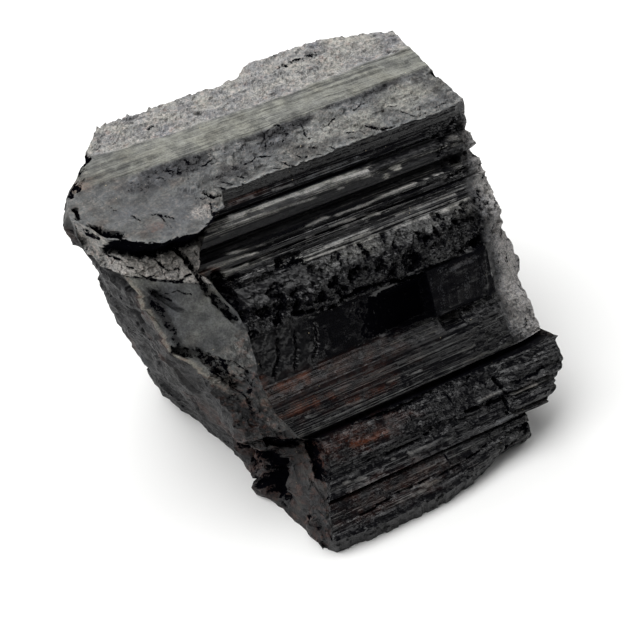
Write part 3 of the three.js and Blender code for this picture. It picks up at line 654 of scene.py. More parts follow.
paint = {
    # What each place is covered with, as twelve numbers from 0 to 1: pale dull crust, rust,
    # warmth of the crust, polish, dark striae in the crust, dark cracks, coloured grains,
    # lightness, painted shade and black patches, nearness to a thin black line, small facets and chalk
    "numbers": (
        "crust", "rust", "warmth", "polish", "striae", "cracks", "grains", "light", "hollow", "lines",
        "facets", "chalk"),
    # zones of the front: stretch down the slope, stretch along x, then the numbers named here
    "zoneNumbers": ("crust", "warmth", "polish", "striae", "cracks", "light", "facets"),
    "zoneStart": (0.1, 0.5, 0.5, 0.3, 0.2, 0.5, 0.3),
    "front": [
        ((-1.2, -1, 0.2, 0.4), whole, 0.08, 0.5, 0.8, 0.8, 0, 0.35, 0.3),
        ((0.2, 0.4, 2.3, 2.5), whole, 0.2, 0.3, 0.9, 1, 0, 0.6, 0.1),
        ((2.45, 2.6, 3, 3.9), (-60, -59, 12, 16), 0.5, 0.75, 0.5, 1, 0, 1, 0),
        ((3.2, 3.9, 4.1, 4.3), whole, 0.26, 0.75, 0.7, 1, 0, 0.9, 0),
        ((4, 4.3, 7, 7.2), whole, 0.09, 0.8, 0.4, 0.9, 0.3, 0.45, 0.3),
        ((7.1, 7.3, 12.1, 12.6), whole, 0.14, 0.45, 0.85, 1, 0, 1, 0.1),
        ((6.8, 7.2, 10, 10.6), (-60, -59, -9, -5), 0.34, 0.85, 0.5, 1, 0, 0.9, 0.1),
        ((12.1, 12.5, 14, 14.8), (-3, 0, 60, 61), 0.36, 0.5, 0.8, 0, 0.8, 0.8, 1),
        ((14.4, 15.2, 19, 19.6), whole, 0.04, 0.3, 0.75, 0, 0.8, 0.32, 0.75),
        ((19.2, 19.6, 26.3, 26.6), whole, 0.05, 0.1, 0.95, 0, 0, 0.3, 0.05),
        ((19.2, 19.6, 26.3, 26.6), (-60, -59, -7, 0), 0.18, 0, 0.6, 0, 0.15, 0.34, 0.3),
        ((26.3, 26.7, 28.6, 29.4), whole, 0.18, 0.95, 0.8, 0.8, 0.2, 0.32, 0.2),
        ((29, 29.6, 35, 35.2), whole, 0.12, 0.6, 0.85, 1, 0.1, 0.45, 0.2),
        ((35.7, 36, 40.8, 41.4), whole, 0.18, 0.3, 0.8, 0.5, 0.5, 0.38, 0.45),
        ((40.8, 41.2, 44.8, 45), whole, 0.14, 0.4, 0.85, 0.9, 0.2, 0.46, 0.3),
        ((44.8, 45, 50.2, 50.6), whole, 0.11, 0.6, 0.8, 0.8, 0.3, 0.42, 0.3),
        ((50.2, 50.6, 60, 61), whole, 0.16, 0.5, 0.6, 0.4, 0.3, 0.26, 0.5)],
    # patches of crust: centre, half length and half width, crust, lightness
    "patches": [
        ((17.1, 4.2), (1.2, 0.6), 0.9, 0.9), ((15.1, 4.9), (0.8, 0.5), 0.9, 0.8),
        ((26.6, 7.6), (1.8, 1.4), 0.5, 0.8), ((27.4, 3.6), (1.4, 1.6), 0.4, 0.7),
        ((6, 13.2), (6, 0.8), 0.6, 0.9), ((19, 13.6), (4, 0.7), 0.5, 0.8),
        ((-6.5, 9.4), (5, 0.5), 0.6, 0.8), ((-4, 11), (0.9, 0.9), 0.7, 0.8),
        ((3, 48.5), (5.5, 0.6), 0.6, 0.5), ((13.6, 19.2), (1.4, 0.5), 0.6, 0.7),
        ((-13.6, 26.6), (1, 1.4), 0.8, 1), ((27.6, 39.5), (2.4, 1.2), 0.45, 0.6),
        ((2, 38), (5, 1.2), 0.35, 0.45), ((22, 20.5), (4.5, 0.5), 0.4, 0.5)],
    # spots: centre, half length and half width, strength and seed. First the rust of the front
    "rust": [
        ((-9, 27.2), (5, 0.9), 0.8, 123), ((-7, 30.8), (5.5, 0.9), 0.7, 123),
        ((-1, 38.6), (4.5, 0.8), 0.8, 123), ((-4, 38), (3, 0.7), 0.6, 123),
        ((-12.6, 26), (1.2, 1.6), 0.9, 123), ((2, 33), (5, 0.5), 0.4, 123),
        ((-1, 29), (13, 4.5), 0.17, 123), ((0, 46.5), (12, 3), 0.15, 123),
        ((-2, 38), (9, 2.2), 0.3, 123), ((-15, 8.6), (2.2, 0.6), 0.6, 123),
        ((-6, 0.9), (6, 0.5), 0.3, 123)],
    # the same on the top: dark and pale patches, black clumps, a stain, grains and chalk
    "topDark": [
        ((-12, 18.8), (7.5, 2), 1, 134), ((4, 19.2), (6, 1.6), 1, 136), ((19, 20.3), (9, 0.8), 0.8, 137),
        ((2.5, 17.2), (3.5, 2.2), 0.7, 138), ((-5.5, 14.2), (3.2, 1.8), 0.8, 143),
        ((-17.5, 17.4), (4.5, 1.6), 0.8, 144)],
    "topPale": [((12, 15.5), (8, 2.6), 1, 139), ((24, 16.5), (6, 3), 1, 140)],
    "topClumps": [((-11.5, 28.6), (1.6, 0.8), 0.34, 186), ((14, 31.5), (6, 1), 0.34, 187)],
    "topStain": [((-20.5, 9.1), (1.6, 0.8), 0.6, 142)],
    "topGrains": [((-13.2, 8.6), (2.4, 1.6), 1, 146)],
    "topChalk": [((-13.4, 8.4), (1.8, 1.4), 0.5, 148)],
    "leftLump": [((22.6, 37.4), (3.4, 1.8), 0.27, 149)],   # and a black lump of the left break, painted shade in its recess near the top
    # painted glints, pale bright lines along the bars for the light they mirror: chain of (x, t), half
    # width, brightness
    "glints": [
        ([(-9.1, 2.6), (-1.9, 2.8), (6.7, 3), (12.5, 3.1)], 0.34, 1),
        ([(-12.9, 3.4), (-2.3, 3.9), (3.2, 4.1), (8.1, 4.3)], 0.3, 0.9),
        ([(-7.2, 0.9), (2.8, 1.6)], 0.24, 0.45),
        ([(0.9, 7.4), (10.9, 7.6), (19.6, 7.3), (23.6, 7.2)], 0.28, 1),
        ([(4.1, 8.6), (9.1, 9), (14, 9.6)], 0.26, 0.9), ([(0.2, 9), (2.7, 9.2)], 0.24, 0.8),
        ([(-1.4, 11.8), (6.6, 12.2), (14.4, 12.2), (20.8, 12.4), (27.1, 12)], 0.26, 1),
        ([(-0.2, 11), (4.2, 11.2), (9.1, 11.5)], 0.24, 0.85),
        ([(-14.6, 7.9), (-9.3, 8.2), (-5.8, 8.6)], 0.3, 0.9),
        ([(-15.6, 9), (-10.4, 9.5), (-9.1, 9.4)], 0.3, 0.9), ([(-11.3, 7.2), (-3.7, 7.9)], 0.22, 0.7),
        ([(19.4, 8), (24, 8.1)], 0.24, 0.7), ([(14.5, 10.6), (24.5, 10.9)], 0.24, 0.7),
        ([(-2.8, 42.5), (4.7, 42.9), (11.3, 43.2)], 0.34, 0.4),
        ([(-6.7, 42.9), (-3.2, 43.6)], 0.3, 0.4), ([(4.9, 32.4), (10.7, 32.8)], 0.24, 0.4),
        ([(-3, 30.4), (0.4, 30.6)], 0.24, 0.4), ([(-8.3, 32.5), (0.5, 33.4)], 0.24, 0.35),
        ([(16.1, 39.9), (21.6, 40.1)], 0.26, 0.45), ([(22.5, 41.1), (28.1, 41.3)], 0.26, 0.6),
        ([(0.8, 47.3), (7, 48.3)], 0.26, 0.35)],
    # the thin tan ridge between the facet and the flank: t, x
    "ridge": [
        (-3, -29.3), (3, -27.4), (8.9, -25.4), (14.9, -23.5), (19.5, -21.5), (22.4, -19.7), (26, -16.6),
        (33, -12.5)],
}


def bare(x, **known):
    # the twelve numbers of every place, all 0 but the known ones
    return SimpleNamespace(**{name: 0 * x + known.get(name, 0) for name in paint["numbers"]})


def lay(on, weight, **coats):
    # blends new numbers over the old ones: only the new where weight is 1
    for name, coat in coats.items():
        old = getattr(on, name)
        setattr(on, name, old + weight * (coat - old))


def spot(u, v, at, size, seed):
    # 1 inside an oval, 0 outside, its edge frayed
    d = np.hypot((u - at[0]) / size[0], (v - at[1]) / size[1])
    return 1 - ramp(0.4, 1.2, d + 0.45 * cloud(u / 1.6, v / 0.8, seed, 3))


def spots(u, v, name):
    # the strongest of a list of such ovals at every place
    return np.max([amount * spot(u, v, at, size, seed) for at, size, amount, seed in paint[name]], 0)


def paintBars(x, t, level, mottle):
    # the striated bars, the crumbly shoulder and the riser, zone by zone
    p = bare(x, **dict(zip(paint["zoneNumbers"], paint["zoneStart"])))
    for place, reach, *zone in paint["front"]:
        lay(p, hump(place, t) * hump(reach, x), **dict(zip(paint["zoneNumbers"], zone)))
    p.crust = p.crust * (1 + 0.3 * level + 0.4 * mottle) + 0.5 * p.striae * slats(x, t, 24, 0.5, 183)
    # a dark rough stretch of the lower bars
    dim = spot(x, t, (15.5, 38.4), (6.5, 2.6), 181)
    lay(p, dim, crust=0.2 * p.crust, light=0.6 * p.light)
    p.chalk = 0.35 * hump((2.4, 2.6, 12.1, 12.6), t) + 0.2 * hump((12.1, 12.6, 14.0, 14.8), t)
    # painted shade: black where the front's relief sinks and in the riser's pocket, for the block's
    # shadow;
    # then the block beside it with its lines down the slope
    pocket = ramp(0.0, 8.5, x) * hump((19.6, 20.6, 25.4, 26.4), t)
    p.hollow = np.maximum(0.6 * ramp(0.05, 0.6, -frontRelief(x, t)), pocket)
    p.hollow = p.hollow * (1 - ramp(15.2, 15.5, x) * hump((19.2, 19.6, 26.2, 26.6), t))
    block = hump((15.4, 15.8, 25.6, 26.2), x) * hump((19.4, 19.9, 26.0, 26.4), t)
    streaked = p.crust + 0.1 + 0.1 * slats(t, x + 0.15 * t, 8, 0.5, 129)
    lay(p, block, crust=streaked, warmth=0, polish=0.85 * p.polish)
    for k, (at, size, amount, bright) in enumerate(paint["patches"]):
        patch = spot(x, t, at, size, 160 + k)
        p.crust = np.maximum(p.crust, amount * patch)
        p.chalk = np.maximum(p.chalk, 0.5 * amount * bright * patch)
        lay(p, patch, light=bright)
    # painted glints: pale lines laid along the bars in place of their reflections
    for k, (line, width, bright) in enumerate(paint["glints"]):
        glint = 1 - ramp(0.2, 1, away(x, t + 0.12 * cloud(x / 4, t, 189, 2), line) / width)
        glint = glint * ramp(-0.5, -0.2, cloud(x / 3, 0 * x + 3 * k, 190, 3))
        p.crust = np.maximum(p.crust, glint)
        p.chalk = np.maximum(p.chalk, 0.6 * bright * glint)
        lay(p, glint, light=bright, warmth=0.5, striae=0)
    p.rust = spots(x, t, "rust") * (1 - hump((19.0, 19.8, 25.8, 26.3), t) * ramp(-8, -4, x))
    return p


def paintLeft(p, x, t, onLeft, path, level, number, mottle):
    # the shelf, the smooth facet with its tan ridge, and the flank outside the ridge
    edgeT, shelfFront, rough = leftPlaces(x, t)
    plain = 1 - ramp(-27.0, -25.6, x)          # left of the cleft the top runs on to the shelf
    shelf = np.maximum(ramp(edgeT + 0.9, edgeT + 2.5, t), plain)
    shelf = shelf * (1 - ramp(shelfFront, shelfFront + 0.5, t))
    facet = ramp(shelfFront, shelfFront + 0.7, t)
    streak = hump((-26, -24, -22, -20), x) * hump((7, 8.5, 13, 15), t)
    cavity = -0.9 * groove(x, t, relief["cavity"], 1.3, 1.0, 7)
    ridgeAt = np.maximum(along(paint["ridge"], t), x[:, :1] + 0.3)
    fromRidge = x - ridgeAt + 0.3 * cloud(t / 1.2, 0 * x, 126, 3)
    ridge = hump((-0.5, -0.2, 0.1, 0.5), fromRidge) * ramp(4, 7, t) * (1 - 0.75 * ramp(20, 25, t))
    outside = 1 - ramp(-0.6, 0.0, fromRidge)
    low = ramp(22, 25, t)
    comb = hump((0.6, 1.0, 1.4, 2.4), x - ridgeAt) * hump((7, 9, 17, 20), t)
    crust = shelf + facet * (0.66 + 0.2 * mottle - 0.25 * streak - 0.3 * comb)
    crust = crust + facet * (1 - outside) * rough * (0.15 * level + 0.15 * mottle - 0.1)
    crust = crust * (1 - outside) + outside * (0.4 + 0.3 * mottle)
    light = facet * (0.62 + 0.1 * mottle + 0.1 * rough - 0.24 * low) * (1 - 0.68 * outside)
    rust = 0.4 * ridge * (0.4 + (number > 0.5)) + 0.35 * rough * facet * (number > 0.8 - 0.2 * low)
    crumbs = low * (0.17 + 0.4 * cloud(x / 1.2, t, 191, 3))
    # painted shade: black in the cleft, the facet's cavity, along the cleft's path and between the
    # comb's plates, with black crumbs low on the facet
    black = [1 - np.maximum(shelf, facet), 0.52 * cavity, 0.6 * path, 0.46 * comb, crumbs]
    # painted light: the shelf's pale crust is given lightness 1.25 where the tongue's overhang shades it
    lay(p, onLeft, crust=np.maximum(crust, 0.9 * ridge), rust=rust, polish=0.2, striae=0,
        warmth=0.55 + 0.25 * mottle + 0.45 * ridge, chalk=shelf * (1 - 0.7 * plain) + 0.2 * ridge,
        cracks=0.5 * shelf + 0.5 * rough + 0.5 * outside, grains=0.8 * shelf + 0.2 * rough,
        facets=0.5 * shelf + 0.6 * rough + 0.5 * outside + 0.08 * facet,
        light=np.maximum(1.25 * shelf + light, 0.8 * ridge), hollow=np.max(black, 0))


def paintBevel(p, x, t, number, mottle):
    # the dusty right bevel: it pales away from the bars
    end = along(stone["barsRight"], t) + 1.1 * cloud(t / 2.2, x / 6, 124, 3)
    onRight = ramp(-0.3, 0.7, x - end + 0.5 * mottle) * (t < stone["bevelEnd"])
    dusty = ramp(0.2, 4.0, x - end + 1.2 * mottle)
    lay(p, onRight, crust=0.5 + 0.5 * dusty - 0.4 * (number < 0.05), warmth=0.2, polish=0.2,
        striae=0, cracks=0.35, grains=0.35, light=0.5 + 0.75 * dusty, facets=0.4,
        chalk=0.08 + 0.82 * dusty, hollow=0)
    p.hollow = np.maximum(p.hollow, onRight * (0.1 + 0.4 * cloud(x / 2, t / 2, 185, 3)))


def paintEnd(p, x, t, onEnd, number, mottle):
    # the fibrous end of the lower bars, brownish grey, with painted shade black in its holes and between
    # its deep fibres
    inHole = np.clip(-1.5 * hollows(x, t, "endHollows"), 0, 1)
    fibre = slats(t, x + 0.3 * mottle, 6, 0.5, 128)
    split = slats(t, x + 0.4 * mottle, 5, 1.1, 57)
    slot = -groove(x, t, relief["slot"], 1.2, 1.0, 81)
    lay(p, onEnd, crust=(0.44 + 0.5 * fibre + 0.4 * mottle) * (1 - slot), warmth=0.5 + 0.4 * mottle,
        rust=0.25 * (number > 0.7) + 0.25 * slot + 0.12 * ramp(0.2, 0.6, fibre), polish=0.2, striae=0,
        cracks=0.7, light=0.1 + 0.1 * fibre + 0.16 * mottle, facets=0.5, chalk=0,
        hollow=np.maximum(0.8 * inHole, 0.34 * ramp(0.1, 0.7, -split)))


def paintFront(x, t, nominal):
    # t is how far down the slope a place lies, nominal how far its row does
    level, _, number = blocks(x / 0.5, nominal / 0.4, 121)
    mottle = cloud(x / 3, nominal / 2, 122, 4)
    fromStart = x - along(stone["barsLeft"], nominal)
    path = -groove(x, t, relief["cleftPath"], 0.8, 1.0, 9)
    p = paintBars(x, nominal, level, mottle)
    above = nominal < stone["facetEnd"]
    paintLeft(p, x, t, (fromStart < 0) & above, path, level, number, mottle)
    paintBevel(p, x, nominal, number, mottle)
    paintEnd(p, x, nominal, (fromStart < -0.2) & ~above, number, mottle)
    # painted shade along the cleft's path above the bars
    p.hollow = np.maximum(p.hollow, 0.6 * path * (nominal < 17))
    p.lines = hairlines(x, nominal, "frontLines", "frontCracks", 3)
    return p


def paintTop(x, y):
    # the crest band, the speckled band behind it, the mottled part before it and the tongue
    seam, fromLip = fromSeam(x, y), y - edgeY("topFrontEdge", x)
    crest = hump((20.2, 20.8, 25.4, 26.4), seam)
    speckled = ramp(25.6, 26.6, seam)
    tongue = (1 - ramp(-14, -10, x + 1.5 * cloud(y / 3, x / 3, 130, 2))) * (1 - ramp(19.8, 20.6, seam))
    mottled = (1 - crest) * (1 - speckled) * (1 - tongue)
    level, _, number = blocks(x / 0.7, y / 0.5, 131)
    mottle = cloud(x / 2.6, y / 1.6, 133, 4)
    dark = spots(x, y, "topDark") * (1 - crest)
    pale = spots(x, y, "topPale")
    lip = 1 - ramp(0.4, 1.3, fromLip)
    p = bare(x, crust=0.62 + 0.34 * mottle + 0.16 * level - 0.34 * dark + 0.2 * pale)
    lay(p, crest, crust=0.76 + 0.22 * slats(x, y + 0.01 * x, 12, 0.4, 135))
    lay(p, speckled, crust=0.88 + 0.12 * level + 0.2 * mottle - 0.4 * (number < 0.05))
    lay(p, tongue, crust=0.85 + 0.1 * mottle - 0.5 * dark)
    p.crust = np.maximum(p.crust, 0.9 * lip * (1 - tongue) * ramp(-9, -7, x))
    # black in the cracks, and painted shade on the tongue's edge where the cleft bites into it
    cracked = np.clip(-3 * hollows(x, y, "topCracks"), 0, 1)
    cracked = cracked * (1 - 0.5 * spot(x, y, (-25.1, 24.4), (3.6, 4.2), 188))
    lipShade = (1 - ramp(0.0, 1.3, fromLip)) * hump((-26.5, -24.5, -12, -10), x)
    murk = 0.3 * dark * (1 - crest) * (1 - speckled)
    p.hollow = np.max([cracked, 0.55 * lipShade, murk, spots(x, y, "topClumps")], 0)
    # a stain on the tongue, and rust along the sliver at the left end of the crest band
    sliver = 1 - ramp(0.2, 1.4, np.hypot((x + 25.6) / 2.2, (y - 22.2) / 2.0))
    p.rust = spots(x, y, "topStain") + speckled * 0.4 * (number > 0.93)
    p.rust = np.maximum(p.rust, 0.5 * sliver)
    p.warmth = 0.5 + 0.3 * crest + 0.2 * pale - 0.3 * dark - 0.05 * tongue + speckled * 0.5 * mottle
    p.polish = 0.16 + 0.2 * crest
    p.striae = 0.5 * crest + 0.12 * speckled
    p.cracks = 0.8 * mottled * (0.6 + 0.8 * mottle) + 0.25 * speckled + 0.3 * tongue
    p.cracks = p.cracks + 0.1 * crest + 0.5 * dark
    p.grains = speckled * (0.5 + 0.3 * mottle) + 0.3 * mottled + 0.3 * tongue + spots(x, y, "topGrains")
    p.light = 0.68 + 0.18 * crest + 0.32 * speckled + 0.14 * mottle - 0.24 * dark + 0.22 * pale
    p.light = p.light + 0.15 * lip - tongue * (0.2 - 0.12 * mottle) * (1 - dark)
    p.light = p.light - 0.2 * crest * (1 - ramp(-24, -12, x))
    p.facets = 0.5 * speckled + 0.6 * mottled + 0.25 * tongue + 0.4 * dark
    p.chalk = speckled * (0.34 + 0.2 * mottle) + spots(x, y, "topChalk") + 0.12 * pale
    p.lines = hairlines(x, y, "topLines", "topCracks", 2)
    return p


def paintBreak(y, z, side):
    # side 0 is the left break, 1 the right one, dusty only beside the front
    left = side == 0
    mottle = turned(y, z, 8, 141 + side, 5)
    level, _, number = blocks(y / 1.1, z / 1.1, 143 + side)
    fibres = left * fibrousFlank(y, z)
    near = (1 - left) * (1 - 0.7 * ramp(-8, 8, y))
    light = 0.08 + 0.16 * mottle + 0.1 * ramp(22, 34, z) + 0.05 * fibres
    rust = 0.3 * fibres * (number > 0.6) + 0.25 * ramp(0.15, 0.5, cloud(y / 5, z / 5, 147 + side, 3))
    warmth = 0.55 + 0.6 * cloud(y / 4, z / 4, 157 + side, 3)
    p = bare(y, crust=0.44 + 0.5 * mottle + 0.12 * level, rust=rust, warmth=warmth, polish=0.18,
             cracks=0.7, grains=0.3, light=light * (1 + 0.8 * near), facets=0.6, chalk=0.34 * near)
    lay(p, fibres, crust=0.34 + 0.5 * slats(z, y, 7, 1.0, 145) + 0.5 * mottle)
    lay(p, left * knobbly(y, z), crust=0.3 * p.crust)
    # black patches, painted shade in the hollows of the left break and in its recess near the top
    black = [0.1 + 0.4 * cloud(y / 2.6, z / 2.6, 159 + side, 3),
             left * np.clip(-1.5 * hollows(y, z, "leftHollows"), 0, 1),
             left * spots(y, z, "leftLump")]
    p.hollow = np.max(black, 0)
    return p


def paintBack(x, z):
    # plain striated crystal with some powder
    crust = 0.3 + 0.06 * lumps(x / 4.5, z / 0.6, 151) + 0.25 * slats(x, z, 18, 0.7, 153)
    crust = crust + 0.4 * cloud((x + z) / 8, (z - 0.4 * x) / 4, 154, 4)
    rust = 0.5 * ramp(0.35, 0.6, cloud(x / 6, z / 2.5, 155, 3))
    return bare(x, crust=crust, rust=rust, warmth=0.5, polish=0.6, striae=0.8, cracks=0.3,
                light=0.5, facets=0.2)


def quads(ids, flip=False):
    # the four-sided faces of a grid of vertex numbers
    a, b, c, d = ids[:-1, :-1], ids[1:, :-1], ids[1:, 1:], ids[:-1, 1:]
    order = (a, d, c, b) if flip else (a, b, c, d)
    return np.stack([corner.ravel() for corner in order], 1)


def addObject(name, data):
    thing = bpy.data.objects.new(name, data)
    bpy.context.scene.collection.objects.link(thing)
    return thing


def buildStone():
    # joins the five grids and the underside into one mesh, with the paint on its vertices
    front, topGrid, back, breaks, slope, t = makeGrids()
    print("grids worked out")
    store, colours, used = [], [], 0

    def number(grid, paints, rows=slice(None), columns=slice(None)):
        # numbers the vertices of some rows and columns; the others are a neighbour's
        nonlocal used
        ids = np.full(grid.shape[:2], -1)
        own = ids[rows, columns].shape
        ids[rows, columns] = used + np.arange(np.prod(own)).reshape(own)
        store.append(grid[rows, columns].reshape(-1, 3))
        numbers = np.stack(list(vars(paints).values()), -1)
        colours.append(numbers[rows, columns].reshape(-1, numbers.shape[-1]))
        used += int(np.prod(own))
        return ids

    belowEdge = slice(1, None)
    nominal = slope[:, None] + 0 * front[..., 0]
    idFront = number(front, paintFront(front[..., 0], t, nominal))
    idTop = number(topGrid, paintTop(topGrid[..., 0], topGrid[..., 1]), belowEdge)
    idTop[0] = idFront[0]
    idBack = number(back, paintBack(back[..., 0], back[..., 2]), belowEdge)
    idBack[0] = idTop[-1, ::3]
    sides = []
    for side, (patch, column) in enumerate(zip(breaks, (0, -1))):
        ids = number(patch, paintBreak(patch[..., 1], patch[..., 2], side), belowEdge, slice(1, -1))
        ids[0], ids[:, 0], ids[:, -1] = idTop[:, column], idFront[::2, column], idBack[:, column]
        sides.append(ids)
    idLeft, idRight = sides
    grids = [quads(idFront), quads(idTop, True), quads(idBack[1:], True)]
    grids += [quads(idLeft[:, 1:])[:, [0, 3, 2, 1]], quads(idRight[:, 1:])]
    # where one side has more rows or columns than its neighbour, the neighbour's faces take
    # the extra vertices into their edge
    edge = idTop[-1]
    corners = [idBack[0, :-1], edge[1::3], edge[2::3], idBack[0, 1:], idBack[1, 1:], idBack[1, :-1]]
    grids.append(np.stack(corners, 1))
    corners = [idLeft[:-1, 0], idLeft[:-1, 1], idLeft[1:, 1], idLeft[1:, 0], idFront[1::2, 0]]
    grids.append(np.stack(corners, 1))
    corners = [idRight[:-1, 0], idFront[1::2, -1], idRight[1:, 0], idRight[1:, 1], idRight[:-1, 1]]
    grids.append(np.stack(corners, 1))
    faces = [face for grid in grids for face in grid.tolist()]
    # the underside is one flat face
    loop = np.concatenate([idFront[-1], idRight[-1, 1:], idBack[-1, -2::-1], idLeft[-1, -2:0:-1]])
    faces.append(loop[::-1].tolist())
    points = np.concatenate(store)
    points[:, 2] = np.maximum(points[:, 2], 0)
    points[:, :2] -= stone["middle"]
    mesh = bpy.data.meshes.new("black_tourmaline_stone")
    mesh.from_pydata((points * mm).tolist(), [], faces)
    colours = np.clip(np.concatenate(colours), 0, 1).astype(np.float32)
    for k, name in enumerate(("skin", "texture", "marks")):
        layer = mesh.attributes.new(name, "FLOAT_COLOR", "POINT")
        layer.data.foreach_set("color", colours[:, 4 * k:4 * k + 4].ravel())
    mesh.validate()
    mesh.update()
    print("stone:", len(mesh.vertices), "vertices,", len(mesh.polygons), "faces")
    return addObject("black_tourmaline_stone", mesh)


def linear(hexColour):
    # an sRGB hex colour as linear red, green, blue and alpha
    parts = [int(hexColour[k:k + 2], 16) / 255 for k in (1, 3, 5)]
    return [c / 12.92 if c <= 0.04045 else ((c + 0.055) / 1.055) ** 2.4 for c in parts] + [1.0]


def addNode(tree, kind, inputs=(), **settings):
    # one node with its settings and links: its inputs in the order of the sockets, or by name or
    # number. Another node among them stands for its first output
    node = tree.nodes.new("ShaderNode" + kind)
    for name, value in settings.items():
        setattr(node, name, value)
    for name, value in (inputs if isinstance(inputs, dict) else dict(enumerate(inputs))).items():
        source = value.outputs[0] if isinstance(value, bpy.types.Node) else value
        if isinstance(source, bpy.types.NodeSocket):
            tree.links.new(source, node.inputs[name])
        else:
            node.inputs[name].default_value = source
    return node


schorlLook = {
    "glass": "#06060a",        # fresh crystal, all but black
    "crustCool": "#7b7f89",    # powdery break, bluish
    "crustWarm": "#98988c",    # the same, olive
    "pink": "#c4b6ae",         # coloured grains on the break
    "slate": "#3c3f47",
    "umber": "#5d4a40",        # brownish film in the hollows
    "chalk": "#bdb8b3",        # palest powder
    "rust": "#6a3a25",
    "speck": "#d8c9a8",        # painted sparkle: tiny bright specks
    # sizes in mm
    "grain": 0.24, "mottle": 1.4, "stria": 0.17, "striaLength": 14.0, "crumb": 1.1, "crack": 0.07,
    "crackPatches": 3.1, "specks": 1.7, "facet": 0.75, "splinter": 0.32, "film": 5.0, "fray": 0.9,
    "colouredGrain": 0.5, "push": 1.6, "relief": 0.14,
    "ior": 1.64,               # tourmaline, 1.62 to 1.67
    "reflection": 0.3,         # rough hollows throw back less than a plane would
    "roughness": (0.65, 0.14),  # unpolished and polished
    "powderRoughness": 0.25,
    "facetTilt": 0.9, "splinterTilt": 0.7, "bump": 0.6,
}


